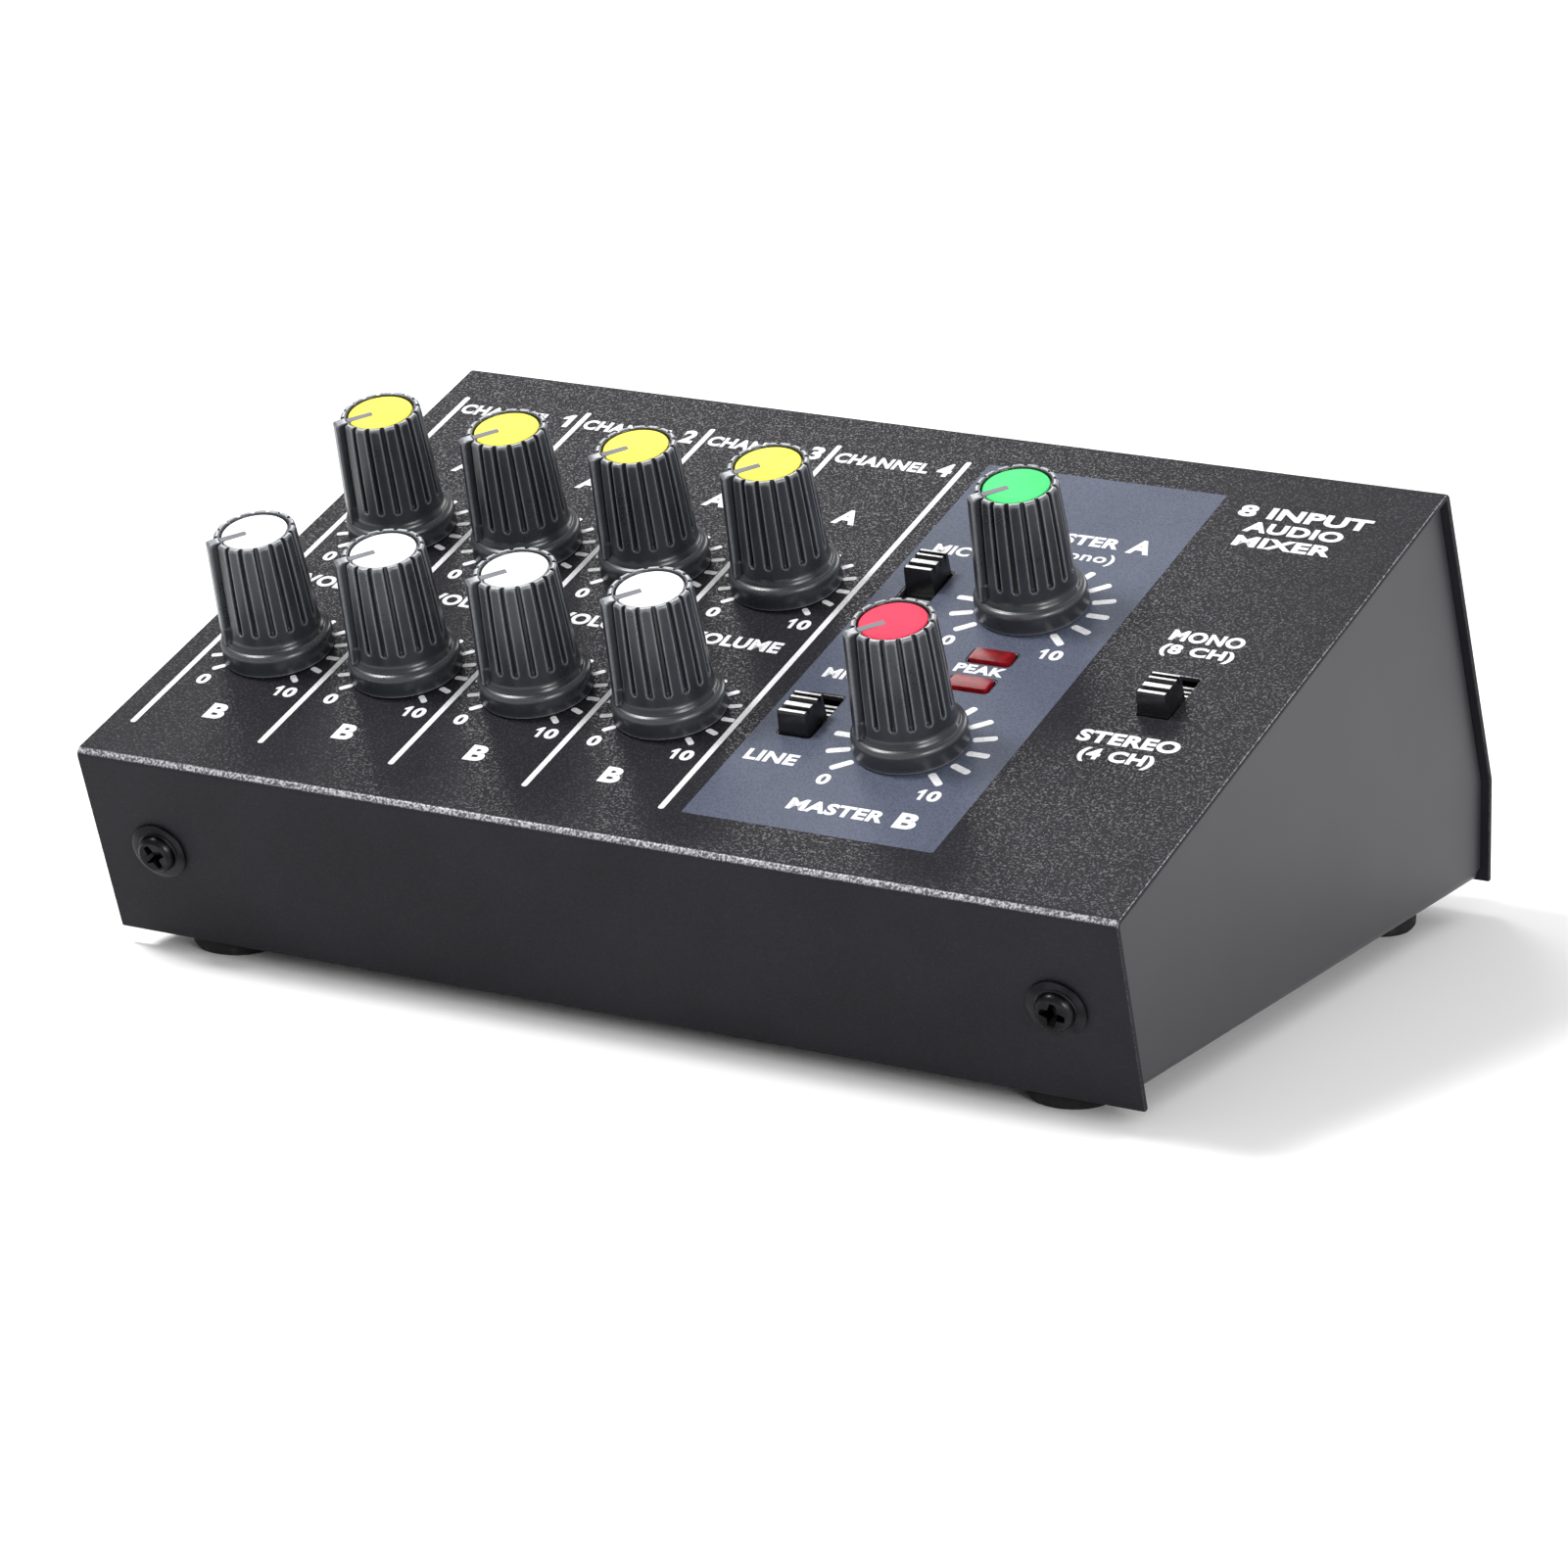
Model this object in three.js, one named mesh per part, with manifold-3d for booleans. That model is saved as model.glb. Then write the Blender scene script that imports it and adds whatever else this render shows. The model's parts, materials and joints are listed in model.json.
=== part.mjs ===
// A small desk mixer: a bent steel cover with a sloping control panel over a steel tray,
// ten rotary level controls, three slide switches, two peak lamps and a row of jacks behind.
// Millimetres. +X runs along the panel, +Y from front to back, +Z up.
// The origin is under the middle of the case, on the surface that the feet stand on.
import * as THREE from 'three';
import { mergeVertices } from 'three/addons/utils/BufferGeometryUtils.js';
import Module from 'manifold-3d';

const wasm = await Module();
wasm.setup();

const DEG = Math.PI / 180;

// Case
const CASE_WIDTH = 184;
const SHEET = 1.0; // thickness of the steel
const GAP = 0.3; // clearance between pieces that meet
const BEND = 1.5; // outer radius of the cover's bends
const FRONT_TOP_Z = 35.4; // height of the edge between front and panel
const PANEL = { length: 128.8, rise: 19 }; // the sloping top and its angle
const FRONT = { length: 34.9, lean: 21.2 }; // the front, leaning in towards its bottom
const REAR = { length: 59.7, lean: 25.5 }; // the slanted back that carries the jacks
const SKIRT = { length: 18.2, lean: 5.7 }; // the low strip under it
const SIDE_RECESS = 1.5; // the tray's sides stand this far inside the cover's cut ends
const TRAY_Z = 5.7; // underside of the tray
const FRONT_FLANGE = 24;
const REAR_FLANGE = 13;

// Feet
const FOOT = { radius: 7, height: TRAY_Z - GAP, taper: 0.8 };
const FOOT_PLACES = {
  front_left: [-75.5, 21.5],
  front_right: [75.5, 21.5],
  rear_left: [-79, 130],
  rear_right: [79, 130],
};

// Controls, as places on the panel: u from its left end, v up the slope from its front edge
const CHANNELS = 4;
const CHANNEL_PITCH = 24.4;
const FIRST_CHANNEL_U = 17;
const ROW_A_V = 75.6;
const ROW_B_V = 35.6;
const MASTER_A = { u: 133, v: 78.7 };
const MASTER_B = { u: 132.3, v: 36.5 };
const POINTER_AT = 225; // degrees from +u at which a control points when it is at zero

// Knob
const KNOB_LIFT = 0.3; // gap under the skirt
const KNOB_TOP = 22.6;
const SKIRT_RADIUS = 9.2;
const SKIRT_TOP = 4.0;
const BODY_FOOT_RADIUS = 7.5;
const BODY_TOP_RADIUS = 6.7;
const CAP_RADIUS = 5.4;
const CAP_THICKNESS = 1.1;
const SHAFT_RADIUS = 3.0;
const SHAFT_TOP = 13;
const SHAFT_FOOT = -5.7;
const SHAFT_FLAT = 1.5; // distance from the axis to the flat
const BUSHING = { radius: 3.9, top: 3.2 };
const NUT = { radius: 5.7, height: 2 };

// Control board and what stands on it
const BOARD = { u: [7, 177], v: [23, 93], top: -9, thickness: 1.6 };
const POT = { u: 10, v: 12 };
const UNDER_SHEET = -SHEET - GAP;
const SLOT = { u: 5.7, v: 12.3 };
const LEVER = { u: 5.1, v: 6.5, top: 4.1, travel: 5.4 };
const SHUTTER = { v: 17.4, top: -1.6, thickness: 1 }; // the plate that moves with a lever
const SWITCHES = {
  input_a: { u: 112.8, v: 79.3, end: 1 },
  input_b: { u: 112.8, v: 40.2, end: -1 },
  mode: { u: 165.4, v: 59.6, end: -1 },
};
const LAMP = { u: 6.9, v: 3.3, top: 0.5 };
const LAMPS = { a: { u: 133.4, v: 63.1 }, b: { u: 133.4, v: 55 } };

// Jacks on the slanted back: s is the distance down from its top edge
const JACK_ROWS = [17, 38.5];
const JACK = { width: 15.8, height: 40, depth: 24 };
const JACK_NOSE = { thread: 4.5, top: 4.6, nut: 6.8, bore: 3.3, boreDepth: 20 };
const OUTPUT_U = 133;
const JACK_BOARD = { u: [8, 150], s: [5, 50], thickness: 1.6 };
const POWER_INLET = { u: 165.4, s: 38.5 };
const INLET = { barrel: 5.4, foot: -13, flange: 6.8, flangeTop: 1.8, bore: 3.2, boreFoot: -9, pin: 1 };
const RIBBON = { width: 22, thickness: 0.8, bend: 8, u: 90, plug: 5 };

// Screws
const SCREW = { head: 3.35, flange: 5, headTop: 2.4, flangeTop: 0.7, thread: 1.45, length: 6 };
const SCREW_INSET = 12;
const FRONT_SCREW_DROP = 17.5;
const REAR_SCREW_DROP = 9;

const STEEL_PAINT = { color: 0x46464b, roughness: 0.55, metalness: 0.3 };
const SIDE_PAINT = { color: 0x5a5a60, roughness: 0.5, metalness: 0.3 };
const KNOB_PLASTIC = { color: 0x34363b, roughness: 0.35, metalness: 0 };
const BLACK_PLASTIC = { color: 0x151517, roughness: 0.5, metalness: 0 };
const BLACK_STEEL = { color: 0x101012, roughness: 0.35, metalness: 0.8 };
const BRIGHT_METAL = { color: 0xb9b9bd, roughness: 0.3, metalness: 1 };
const BOARD_GREEN = { color: 0x1d5a34, roughness: 0.5, metalness: 0 };
const RUBBER = { color: 0x1a1a1a, roughness: 0.9, metalness: 0 };
const LAMP_RED = { color: 0xa01824, roughness: 0.25, metalness: 0 };
const RIBBON_GREY = { color: 0x9a9ca0, roughness: 0.6, metalness: 0 };
const CAP_COLOURS = { yellow: 0xf6ea4e, white: 0xf4f4f4, green: 0x35c765, red: 0xd9304a };

// ---- joining and cutting ----

function solid(geometry) {
  const bare = geometry.clone();
  bare.deleteAttribute('normal');
  bare.deleteAttribute('uv');
  const merged = mergeVertices(bare, 1e-4);
  return new wasm.Manifold(new wasm.Mesh({
    numProp: 3,
    vertProperties: new Float32Array(merged.attributes.position.array),
    triVerts: new Uint32Array(merged.index.array),
  }));
}

function geometryOf(manifold) {
  const mesh = manifold.getMesh();
  const geometry = new THREE.BufferGeometry();
  geometry.setAttribute('position', new THREE.BufferAttribute(mesh.vertProperties, 3));
  geometry.setIndex(new THREE.BufferAttribute(mesh.triVerts, 1));
  return geometry;
}

function join(pieces) {
  return pieces.slice(1).reduce((whole, piece) => whole.add(piece), pieces[0]);
}

function cut(body, cutters) {
  return cutters.reduce((rest, cutter) => rest.subtract(cutter), body);
}

// ---- plain shapes ----

function block([x0, x1], [y0, y1], [z0, z1]) {
  const box = new THREE.BoxGeometry(x1 - x0, y1 - y0, z1 - z0);
  return solid(box.translate((x0 + x1) / 2, (y0 + y1) / 2, (z0 + z1) / 2));
}

function rod(radius, z0, z1, sides) {
  const cylinder = new THREE.CylinderGeometry(radius, radius, z1 - z0, sides);
  return solid(cylinder.rotateX(90 * DEG).translate(0, 0, (z0 + z1) / 2));
}

// A turned shape. The profile is a list of [radius, height], from the axis round to the axis.
function turned(profile, sides) {
  const points = profile.map(([r, h]) => new THREE.Vector2(r, h));
  return solid(new THREE.LatheGeometry(points, sides).rotateX(90 * DEG));
}

// A shape drawn on the Y-Z plane and drawn out along X from x0 to x1.
function alongX(points, x0, x1) {
  const shape = new THREE.Shape(points.map(([y, z]) => new THREE.Vector2(y, z)));
  const geometry = new THREE.ExtrudeGeometry(shape, { depth: x1 - x0, bevelEnabled: false });
  const toYZ = new THREE.Matrix4().makeBasis(
    new THREE.Vector3(0, 1, 0),
    new THREE.Vector3(0, 0, 1),
    new THREE.Vector3(1, 0, 0),
  );
  return solid(geometry.applyMatrix4(toYZ).translate(x0, 0, 0));
}

// The outline of a sheet bent along a path of [y, z] corners that all turn to the right.
// The path is the sheet's outer face, and the thickness lies on its right.
function bentSheet(path, thickness, bend) {
  const corners = path.map(([y, z]) => new THREE.Vector2(y, z));
  const heading = (i) => corners[i + 1].clone().sub(corners[i]).normalize();
  const right = (d) => new THREE.Vector2(d.y, -d.x);
  const outer = [corners[0]];
  const inner = [corners[0].clone().addScaledVector(right(heading(0)), thickness)];
  const steps = 4;
  for (let i = 1; i < corners.length - 1; i += 1) {
    const [before, after] = [heading(i - 1), heading(i)];
    const turn = Math.acos(THREE.MathUtils.clamp(before.dot(after), -1, 1));
    const centre = corners[i].clone()
      .addScaledVector(before, -bend * Math.tan(turn / 2))
      .addScaledVector(right(before), bend);
    const start = right(before).negate().angle();
    for (let k = 0; k <= steps; k += 1) {
      const angle = start - (turn * k) / steps;
      const out = new THREE.Vector2(Math.cos(angle), Math.sin(angle));
      outer.push(centre.clone().addScaledVector(out, bend));
      inner.push(centre.clone().addScaledVector(out, bend - thickness));
    }
  }
  const last = heading(corners.length - 2);
  outer.push(corners.at(-1));
  inner.push(corners.at(-1).clone().addScaledVector(right(last), thickness));
  return [...outer, ...inner.reverse()].map((p) => [p.x, p.y]);
}

// ---- the case's side outline ----

function step([y, z], length, angle) {
  return [y + length * Math.cos(angle * DEG), z + length * Math.sin(angle * DEG)];
}

const FRONT_ANGLE = 90 + FRONT.lean;
const REAR_ANGLE = REAR.lean - 90;
const SKIRT_ANGLE = SKIRT.lean - 90;

// The front edge is rounded, so the case reaches a little less far forward than its corner.
// Furthest back are the heads of the rear screws.
const FRONT_ROUNDING = BEND * (Math.cos(PANEL.rise * DEG) + Math.sin(PANEL.rise * DEG) - 1);
const rearTopFromFront = step([0, FRONT_TOP_Z], PANEL.length, PANEL.rise);
const rearMidFromFront = step(rearTopFromFront, REAR.length, REAR_ANGLE);
const rearScrewFromFront = step(rearMidFromFront, REAR_SCREW_DROP, SKIRT_ANGLE);
const headReach = step(step(rearScrewFromFront, SCREW.headTop, SKIRT.lean), SCREW.head / 2, SKIRT_ANGLE);
const FRONT_Y = -(headReach[0] + FRONT_ROUNDING) / 2; // puts the origin under the middle

const frontTop = [FRONT_Y, FRONT_TOP_Z];
const frontBottom = step(frontTop, -FRONT.length, FRONT_ANGLE);
const rearTop = step(frontTop, PANEL.length, PANEL.rise);
const rearMid = step(rearTop, REAR.length, REAR_ANGLE);
const rearBottom = step(rearMid, SKIRT.length, SKIRT_ANGLE);

// Where the line through a point at an angle, moved sideways to its right, meets another.
function lineMovedIn(point, angle, distance) {
  return { at: step(point, distance, angle - 90), angle };
}

function meet(a, b) {
  const [ya, za] = a.at;
  const [yb, zb] = b.at;
  const [ca, sa] = [Math.cos(a.angle * DEG), Math.sin(a.angle * DEG)];
  const [cb, sb] = [Math.cos(b.angle * DEG), Math.sin(b.angle * DEG)];
  const t = ((yb - ya) * sb - (zb - za) * cb) / (ca * sb - sa * cb);
  return [ya + t * ca, za + t * sa];
}

const INSIDE = SHEET + GAP;
const insideFront = lineMovedIn(frontBottom, FRONT_ANGLE, INSIDE);
const insidePanel = lineMovedIn(frontTop, PANEL.rise, INSIDE);
const insideRear = lineMovedIn(rearTop, REAR_ANGLE, INSIDE);
const insideSkirt = lineMovedIn(rearMid, SKIRT_ANGLE, INSIDE);
const floorLine = { at: [0, TRAY_Z], angle: 180 };
const trayFront = meet(insideFront, floorLine);
const trayRear = meet(insideSkirt, floorLine);

// ---- groups that stand on the faces: local x along the case, z out of the face ----

function faceGroup([y, z], angle) {
  const group = new THREE.Group();
  group.position.set(-CASE_WIDTH / 2, y, z);
  group.rotation.x = angle * DEG;
  group.updateMatrixWorld();
  return group;
}

const onPanel = faceGroup(frontTop, PANEL.rise);
const onFront = faceGroup(frontTop, FRONT_ANGLE);
const onRear = faceGroup(rearTop, REAR_ANGLE);
const onSkirt = faceGroup(rearMid, SKIRT_ANGLE);
const inCase = new THREE.Group();
const mixer = new THREE.Group();
mixer.add(inCase, onPanel, onFront, onRear, onSkirt);

function piece(group, name, body, finish, [x, y, z] = [0, 0, 0], turn = 0) {
  const mesh = new THREE.Mesh(geometryOf(body), new THREE.MeshStandardMaterial(finish));
  mesh.name = name;
  mesh.position.set(x, y, z);
  mesh.rotation.z = turn * DEG;
  group.add(mesh);
}

// A cutter or a lug drawn in a face's own frame, carried to the case's frame.
function carried(body, group) {
  return body.transform(group.matrixWorld.elements);
}

// ---- places of the repeated controls ----

const controls = {};
for (let k = 0; k < CHANNELS; k += 1) {
  const u = FIRST_CHANNEL_U + CHANNEL_PITCH * k;
  controls[`channel_${k + 1}_a`] = { u, v: ROW_A_V, cap: 'yellow' };
  controls[`channel_${k + 1}_b`] = { u, v: ROW_B_V, cap: 'white' };
}
controls.master_a = { ...MASTER_A, cap: 'green' };
controls.master_b = { ...MASTER_B, cap: 'red' };

const jackPairs = { output: OUTPUT_U };
for (let k = 0; k < CHANNELS; k += 1) {
  jackPairs[`channel_${k + 1}`] = FIRST_CHANNEL_U + CHANNEL_PITCH * k;
}

const frontScrews = {
  left: [SCREW_INSET, -FRONT_SCREW_DROP],
  right: [CASE_WIDTH - SCREW_INSET, -FRONT_SCREW_DROP],
};
const rearScrews = {
  left: [SCREW_INSET, REAR_SCREW_DROP],
  right: [CASE_WIDTH - SCREW_INSET, REAR_SCREW_DROP],
};

// ---- cover and tray ----

const THROUGH = [-4, 4]; // a cutter's reach below and above the sheet

function holesFor(places, radius, group) {
  return places.map(([x, y]) => carried(rod(radius, ...THROUGH, 12).translate([x, y, 0]), group));
}

function windowsFor(places, [u, v]) {
  return places.map((at) => carried(
    block([at.u - u / 2, at.u + u / 2], [at.v - v / 2, at.v + v / 2], THROUGH),
    onPanel,
  ));
}

function screwHoles() {
  return [
    ...holesFor(Object.values(frontScrews), SCREW.thread + GAP, onFront),
    ...holesFor(Object.values(rearScrews), SCREW.thread + GAP, onSkirt),
  ];
}

function topCover() {
  const outline = bentSheet([frontBottom, frontTop, rearTop, rearMid, rearBottom], SHEET, BEND);
  const sheet = alongX(outline, -CASE_WIDTH / 2, CASE_WIDTH / 2);
  const jacks = Object.values(jackPairs).flatMap((u) => JACK_ROWS.map((s) => [u, s]));
  return cut(sheet, [
    ...holesFor(Object.values(controls).map((c) => [c.u, c.v]), BUSHING.radius + 0.4, onPanel),
    ...windowsFor(Object.values(SWITCHES), [SLOT.u, SLOT.v]),
    ...windowsFor(Object.values(LAMPS), [LAMP.u + 2 * GAP, LAMP.v + 2 * GAP]),
    ...holesFor(jacks, JACK_NOSE.thread + 0.4, onRear),
    ...holesFor([[POWER_INLET.u, POWER_INLET.s]], INLET.barrel + 0.4, onRear),
    ...screwHoles(),
  ]);
}

function baseTray() {
  const half = CASE_WIDTH / 2 - SIDE_RECESS;
  const strip = bentSheet([
    step(trayRear, -REAR_FLANGE, SKIRT_ANGLE),
    trayRear,
    trayFront,
    step(trayFront, FRONT_FLANGE, FRONT_ANGLE),
  ], SHEET, BEND);
  const side = [
    trayFront,
    meet(insideFront, insidePanel),
    meet(insidePanel, insideRear),
    meet(insideRear, insideSkirt),
    trayRear,
  ];
  const tray = join([
    alongX(strip, -half + SHEET / 2, half - SHEET / 2),
    alongX(side, -half, -half + SHEET),
    alongX(side, half - SHEET, half),
  ]);
  return cut(tray, screwHoles());
}

function foot() {
  const r = FOOT.radius;
  return turned([
    [0, 0],
    [r - FOOT.taper, 0],
    [r, FOOT.taper],
    [r, FOOT.height],
    [0, FOOT.height],
  ], 20);
}

function screw() {
  return turned([
    [0, -SCREW.length],
    [SCREW.thread, -SCREW.length],
    [SCREW.thread, GAP],
    [SCREW.flange, GAP],
    [SCREW.flange, SCREW.flangeTop],
    [SCREW.head, SCREW.flangeTop + 0.2],
    [SCREW.head * 0.9, SCREW.headTop - 0.5],
    [SCREW.head * 0.5, SCREW.headTop],
    [0, SCREW.headTop],
  ], 16);
}

// ---- rotary controls ----

// A shaft's section, with a flat that keys it to its knob.
function keyed(radius, flat, z0, z1) {
  const shape = new THREE.Shape();
  const half = Math.acos(flat / radius);
  shape.absarc(0, 0, radius, half, 2 * Math.PI - half, false);
  const settings = { depth: z1 - z0, bevelEnabled: false, curveSegments: 10 };
  return solid(new THREE.ExtrudeGeometry(shape, settings).translate(0, 0, z0));
}

function knob() {
  const hollow = NUT.radius + 0.8;
  const hollowTop = BUSHING.top + 0.5;
  const capSeat = KNOB_TOP - CAP_THICKNESS - GAP;
  const body = turned([
    [0, hollowTop],
    [hollow, hollowTop],
    [hollow, KNOB_LIFT],
    [SKIRT_RADIUS, KNOB_LIFT],
    [SKIRT_RADIUS, SKIRT_TOP],
    [BODY_FOOT_RADIUS, SKIRT_TOP + 0.7],
    [BODY_TOP_RADIUS, KNOB_TOP],
    [CAP_RADIUS + GAP, KNOB_TOP],
    [CAP_RADIUS + GAP, capSeat],
    [0, capSeat],
  ], 18);
  const pointer = alongX([
    [5.9, SKIRT_TOP],
    [8.75, SKIRT_TOP],
    [8.0, KNOB_TOP - 0.3],
    [5.9, KNOB_TOP - 0.3],
  ], -1, 1).rotate([0, 0, -90]);
  return cut(body.add(pointer), [keyed(SHAFT_RADIUS + GAP, SHAFT_FLAT + GAP, 2, SHAFT_TOP + GAP)]);
}

function knobCap() {
  return rod(CAP_RADIUS, KNOB_TOP - CAP_THICKNESS, KNOB_TOP, 16);
}

function shaft() {
  return keyed(SHAFT_RADIUS, SHAFT_FLAT, SHAFT_FOOT, SHAFT_TOP);
}

// ---- control board, with the potentiometers that are soldered to it ----

function potentiometer({ u, v }) {
  return [
    block([u - POT.u / 2, u + POT.u / 2], [v - POT.v / 2, v + POT.v / 2], [BOARD.top - 0.5, UNDER_SHEET]),
    rod(BUSHING.radius, UNDER_SHEET - 1, BUSHING.top, 12).translate([u, v, 0]),
    rod(NUT.radius, GAP, GAP + NUT.height, 6).translate([u, v, 0]),
  ];
}

function controlBoard() {
  const places = Object.values(controls);
  const plate = block(BOARD.u, BOARD.v, [BOARD.top - BOARD.thickness, BOARD.top]);
  const bores = places.map(({ u, v }) => (
    rod(SHAFT_RADIUS + 0.4, SHAFT_FOOT - GAP, BUSHING.top + 1, 12).translate([u, v, 0])
  ));
  return cut(join([plate, ...places.flatMap(potentiometer)]), bores);
}

// ---- slide switches ----

function switchBody() {
  const recess = SHUTTER.v + LEVER.travel + 2 * GAP;
  const floor = SHUTTER.top - SHUTTER.thickness - GAP;
  const casing = block([-4.3, 4.3], [-recess / 2 - 1.5, recess / 2 + 1.5], [BOARD.top + GAP, UNDER_SHEET]);
  return casing.subtract(block([-SLOT.u / 2, SLOT.u / 2], [-recess / 2, recess / 2], [floor, 0]));
}

function switchLever() {
  const width = [-LEVER.u / 2, LEVER.u / 2];
  const plateFoot = SHUTTER.top - SHUTTER.thickness;
  const plate = block(width, [-SHUTTER.v / 2, SHUTTER.v / 2], [plateFoot, SHUTTER.top]);
  return plate.add(block(width, [-LEVER.v / 2, LEVER.v / 2], [plateFoot, LEVER.top]));
}

function peakLamp() {
  const lens = block([-LAMP.u / 2, LAMP.u / 2], [-LAMP.v / 2, LAMP.v / 2], [UNDER_SHEET - 2, LAMP.top]);
  const foot = block([-LAMP.u / 2 - 0.5, LAMP.u / 2 + 0.5], [-2.2, 2.2], [BOARD.top + GAP, UNDER_SHEET - 1]);
  return lens.add(foot);
}

// ---- jacks ----

function jackPair() {
  const [first, second] = JACK_ROWS;
  const middle = (first + second) / 2;
  const reach = [middle - JACK.height / 2, middle + JACK.height / 2];
  const housing = block([-JACK.width / 2, JACK.width / 2], reach, [UNDER_SHEET - JACK.depth, UNDER_SHEET]);
  const noses = JACK_ROWS.flatMap((s) => [
    rod(JACK_NOSE.thread, UNDER_SHEET - 1, JACK_NOSE.top, 12).translate([0, s, 0]),
    rod(JACK_NOSE.nut, GAP, GAP + 2, 6).translate([0, s, 0]),
  ]);
  const bores = JACK_ROWS.map((s) => (
    rod(JACK_NOSE.bore, -JACK_NOSE.boreDepth, JACK_NOSE.top + 1, 12).translate([0, s, 0])
  ));
  return cut(join([housing, ...noses]), bores);
}

function powerInlet() {
  return turned([
    [0, INLET.foot],
    [INLET.barrel, INLET.foot],
    [INLET.barrel, GAP],
    [INLET.flange, GAP],
    [INLET.flange, INLET.flangeTop],
    [INLET.bore, INLET.flangeTop],
    [INLET.bore, INLET.boreFoot],
    [INLET.pin, INLET.boreFoot],
    [INLET.pin, -GAP],
    [0, -GAP],
  ], 16);
}

function jackBoard() {
  const top = UNDER_SHEET - JACK.depth - GAP;
  return block(JACK_BOARD.u, JACK_BOARD.s, [top - JACK_BOARD.thickness, top]);
}

// A flat cable from the control board's underside to the jack board's inner face.
function ribbonCable() {
  const x0 = RIBBON.u - CASE_WIDTH / 2 - RIBBON.width / 2;
  const x1 = x0 + RIBBON.width;
  const [boardV, jackS] = [84, 30];
  const boardFace = BOARD.top - BOARD.thickness - GAP;
  const jackFace = UNDER_SHEET - JACK.depth - 2 * GAP - JACK_BOARD.thickness;
  const start = step(step(frontTop, boardV, PANEL.rise), 1 - boardFace, PANEL.rise - 90);
  const end = step(step(rearTop, jackS, REAR_ANGLE), 1 - jackFace, REAR_ANGLE - 90);
  const corner = meet({ at: start, angle: PANEL.rise - 90 }, { at: end, angle: REAR_ANGLE - 90 });
  const strip = alongX(bentSheet([end, corner, start], RIBBON.thickness, RIBBON.bend), x0, x1);
  const across = [RIBBON.u - RIBBON.width / 2 - 1, RIBBON.u + RIBBON.width / 2 + 1];
  const upper = block(across, [boardV - 3, boardV + 3], [boardFace - RIBBON.plug, boardFace]);
  const lower = block(across, [jackS - 3, jackS + 3], [jackFace - RIBBON.plug, jackFace]);
  return join([strip, carried(upper, onPanel), carried(lower, onRear)]);
}

// ---- assembly ----

piece(inCase, 'top_cover', topCover(), STEEL_PAINT);
piece(inCase, 'base_tray', baseTray(), SIDE_PAINT);
piece(inCase, 'ribbon_cable', ribbonCable(), RIBBON_GREY);
for (const [where, [x, y]] of Object.entries(FOOT_PLACES)) {
  piece(inCase, `foot_${where}`, foot(), RUBBER, [x, FRONT_Y + y, 0]);
}
for (const [side, [x, y]] of Object.entries(frontScrews)) {
  piece(onFront, `front_screw_${side}`, screw(), BLACK_STEEL, [x, y, 0]);
}
for (const [side, [x, y]] of Object.entries(rearScrews)) {
  piece(onSkirt, `rear_screw_${side}`, screw(), BLACK_STEEL, [x, y, 0]);
}

piece(onPanel, 'control_board', controlBoard(), BOARD_GREEN);
for (const [name, { u, v, cap }] of Object.entries(controls)) {
  const finish = { color: CAP_COLOURS[cap], roughness: 0.45, metalness: 0 };
  piece(onPanel, `${name}_knob`, knob(), KNOB_PLASTIC, [u, v, 0], POINTER_AT);
  piece(onPanel, `${name}_cap`, knobCap(), finish, [u, v, 0], POINTER_AT);
  piece(onPanel, `${name}_shaft`, shaft(), BRIGHT_METAL, [u, v, 0], POINTER_AT);
}
for (const [name, { u, v, end }] of Object.entries(SWITCHES)) {
  piece(onPanel, `${name}_switch_body`, switchBody(), BRIGHT_METAL, [u, v, 0]);
  piece(onPanel, `${name}_switch_lever`, switchLever(), BLACK_PLASTIC, [u, v + (end * LEVER.travel) / 2, 0]);
}
for (const [name, { u, v }] of Object.entries(LAMPS)) {
  piece(onPanel, `peak_lamp_${name}`, peakLamp(), LAMP_RED, [u, v, 0]);
}

for (const [name, u] of Object.entries(jackPairs)) {
  piece(onRear, `${name}_jacks`, jackPair(), BLACK_PLASTIC, [u, 0, 0]);
}
piece(onRear, 'power_inlet', powerInlet(), BLACK_PLASTIC, [POWER_INLET.u, POWER_INLET.s, 0]);
piece(onRear, 'jack_board', jackBoard(), BOARD_GREEN);

export default mixer;
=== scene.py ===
import json
import math

import bmesh
import bpy
from mathutils import Matrix, Vector


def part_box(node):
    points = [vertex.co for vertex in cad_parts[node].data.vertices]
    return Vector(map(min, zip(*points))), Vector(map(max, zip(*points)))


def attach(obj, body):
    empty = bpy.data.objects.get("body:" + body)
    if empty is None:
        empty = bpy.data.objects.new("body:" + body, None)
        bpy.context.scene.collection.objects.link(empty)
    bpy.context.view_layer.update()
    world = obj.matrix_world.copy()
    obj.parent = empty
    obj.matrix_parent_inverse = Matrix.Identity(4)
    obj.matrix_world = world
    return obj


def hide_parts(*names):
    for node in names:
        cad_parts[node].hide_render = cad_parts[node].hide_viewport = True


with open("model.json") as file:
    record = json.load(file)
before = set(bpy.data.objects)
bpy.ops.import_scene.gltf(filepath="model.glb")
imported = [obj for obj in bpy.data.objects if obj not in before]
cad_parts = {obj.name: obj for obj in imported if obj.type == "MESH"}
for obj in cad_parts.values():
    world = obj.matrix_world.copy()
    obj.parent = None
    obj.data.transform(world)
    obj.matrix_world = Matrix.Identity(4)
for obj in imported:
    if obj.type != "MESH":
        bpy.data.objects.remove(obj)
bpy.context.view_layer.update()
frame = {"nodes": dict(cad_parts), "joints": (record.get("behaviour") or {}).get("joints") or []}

MM = 0.001
X_AXIS = Vector((1, 0, 0))
Z_AXIS = Vector((0, 0, 1))

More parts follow.
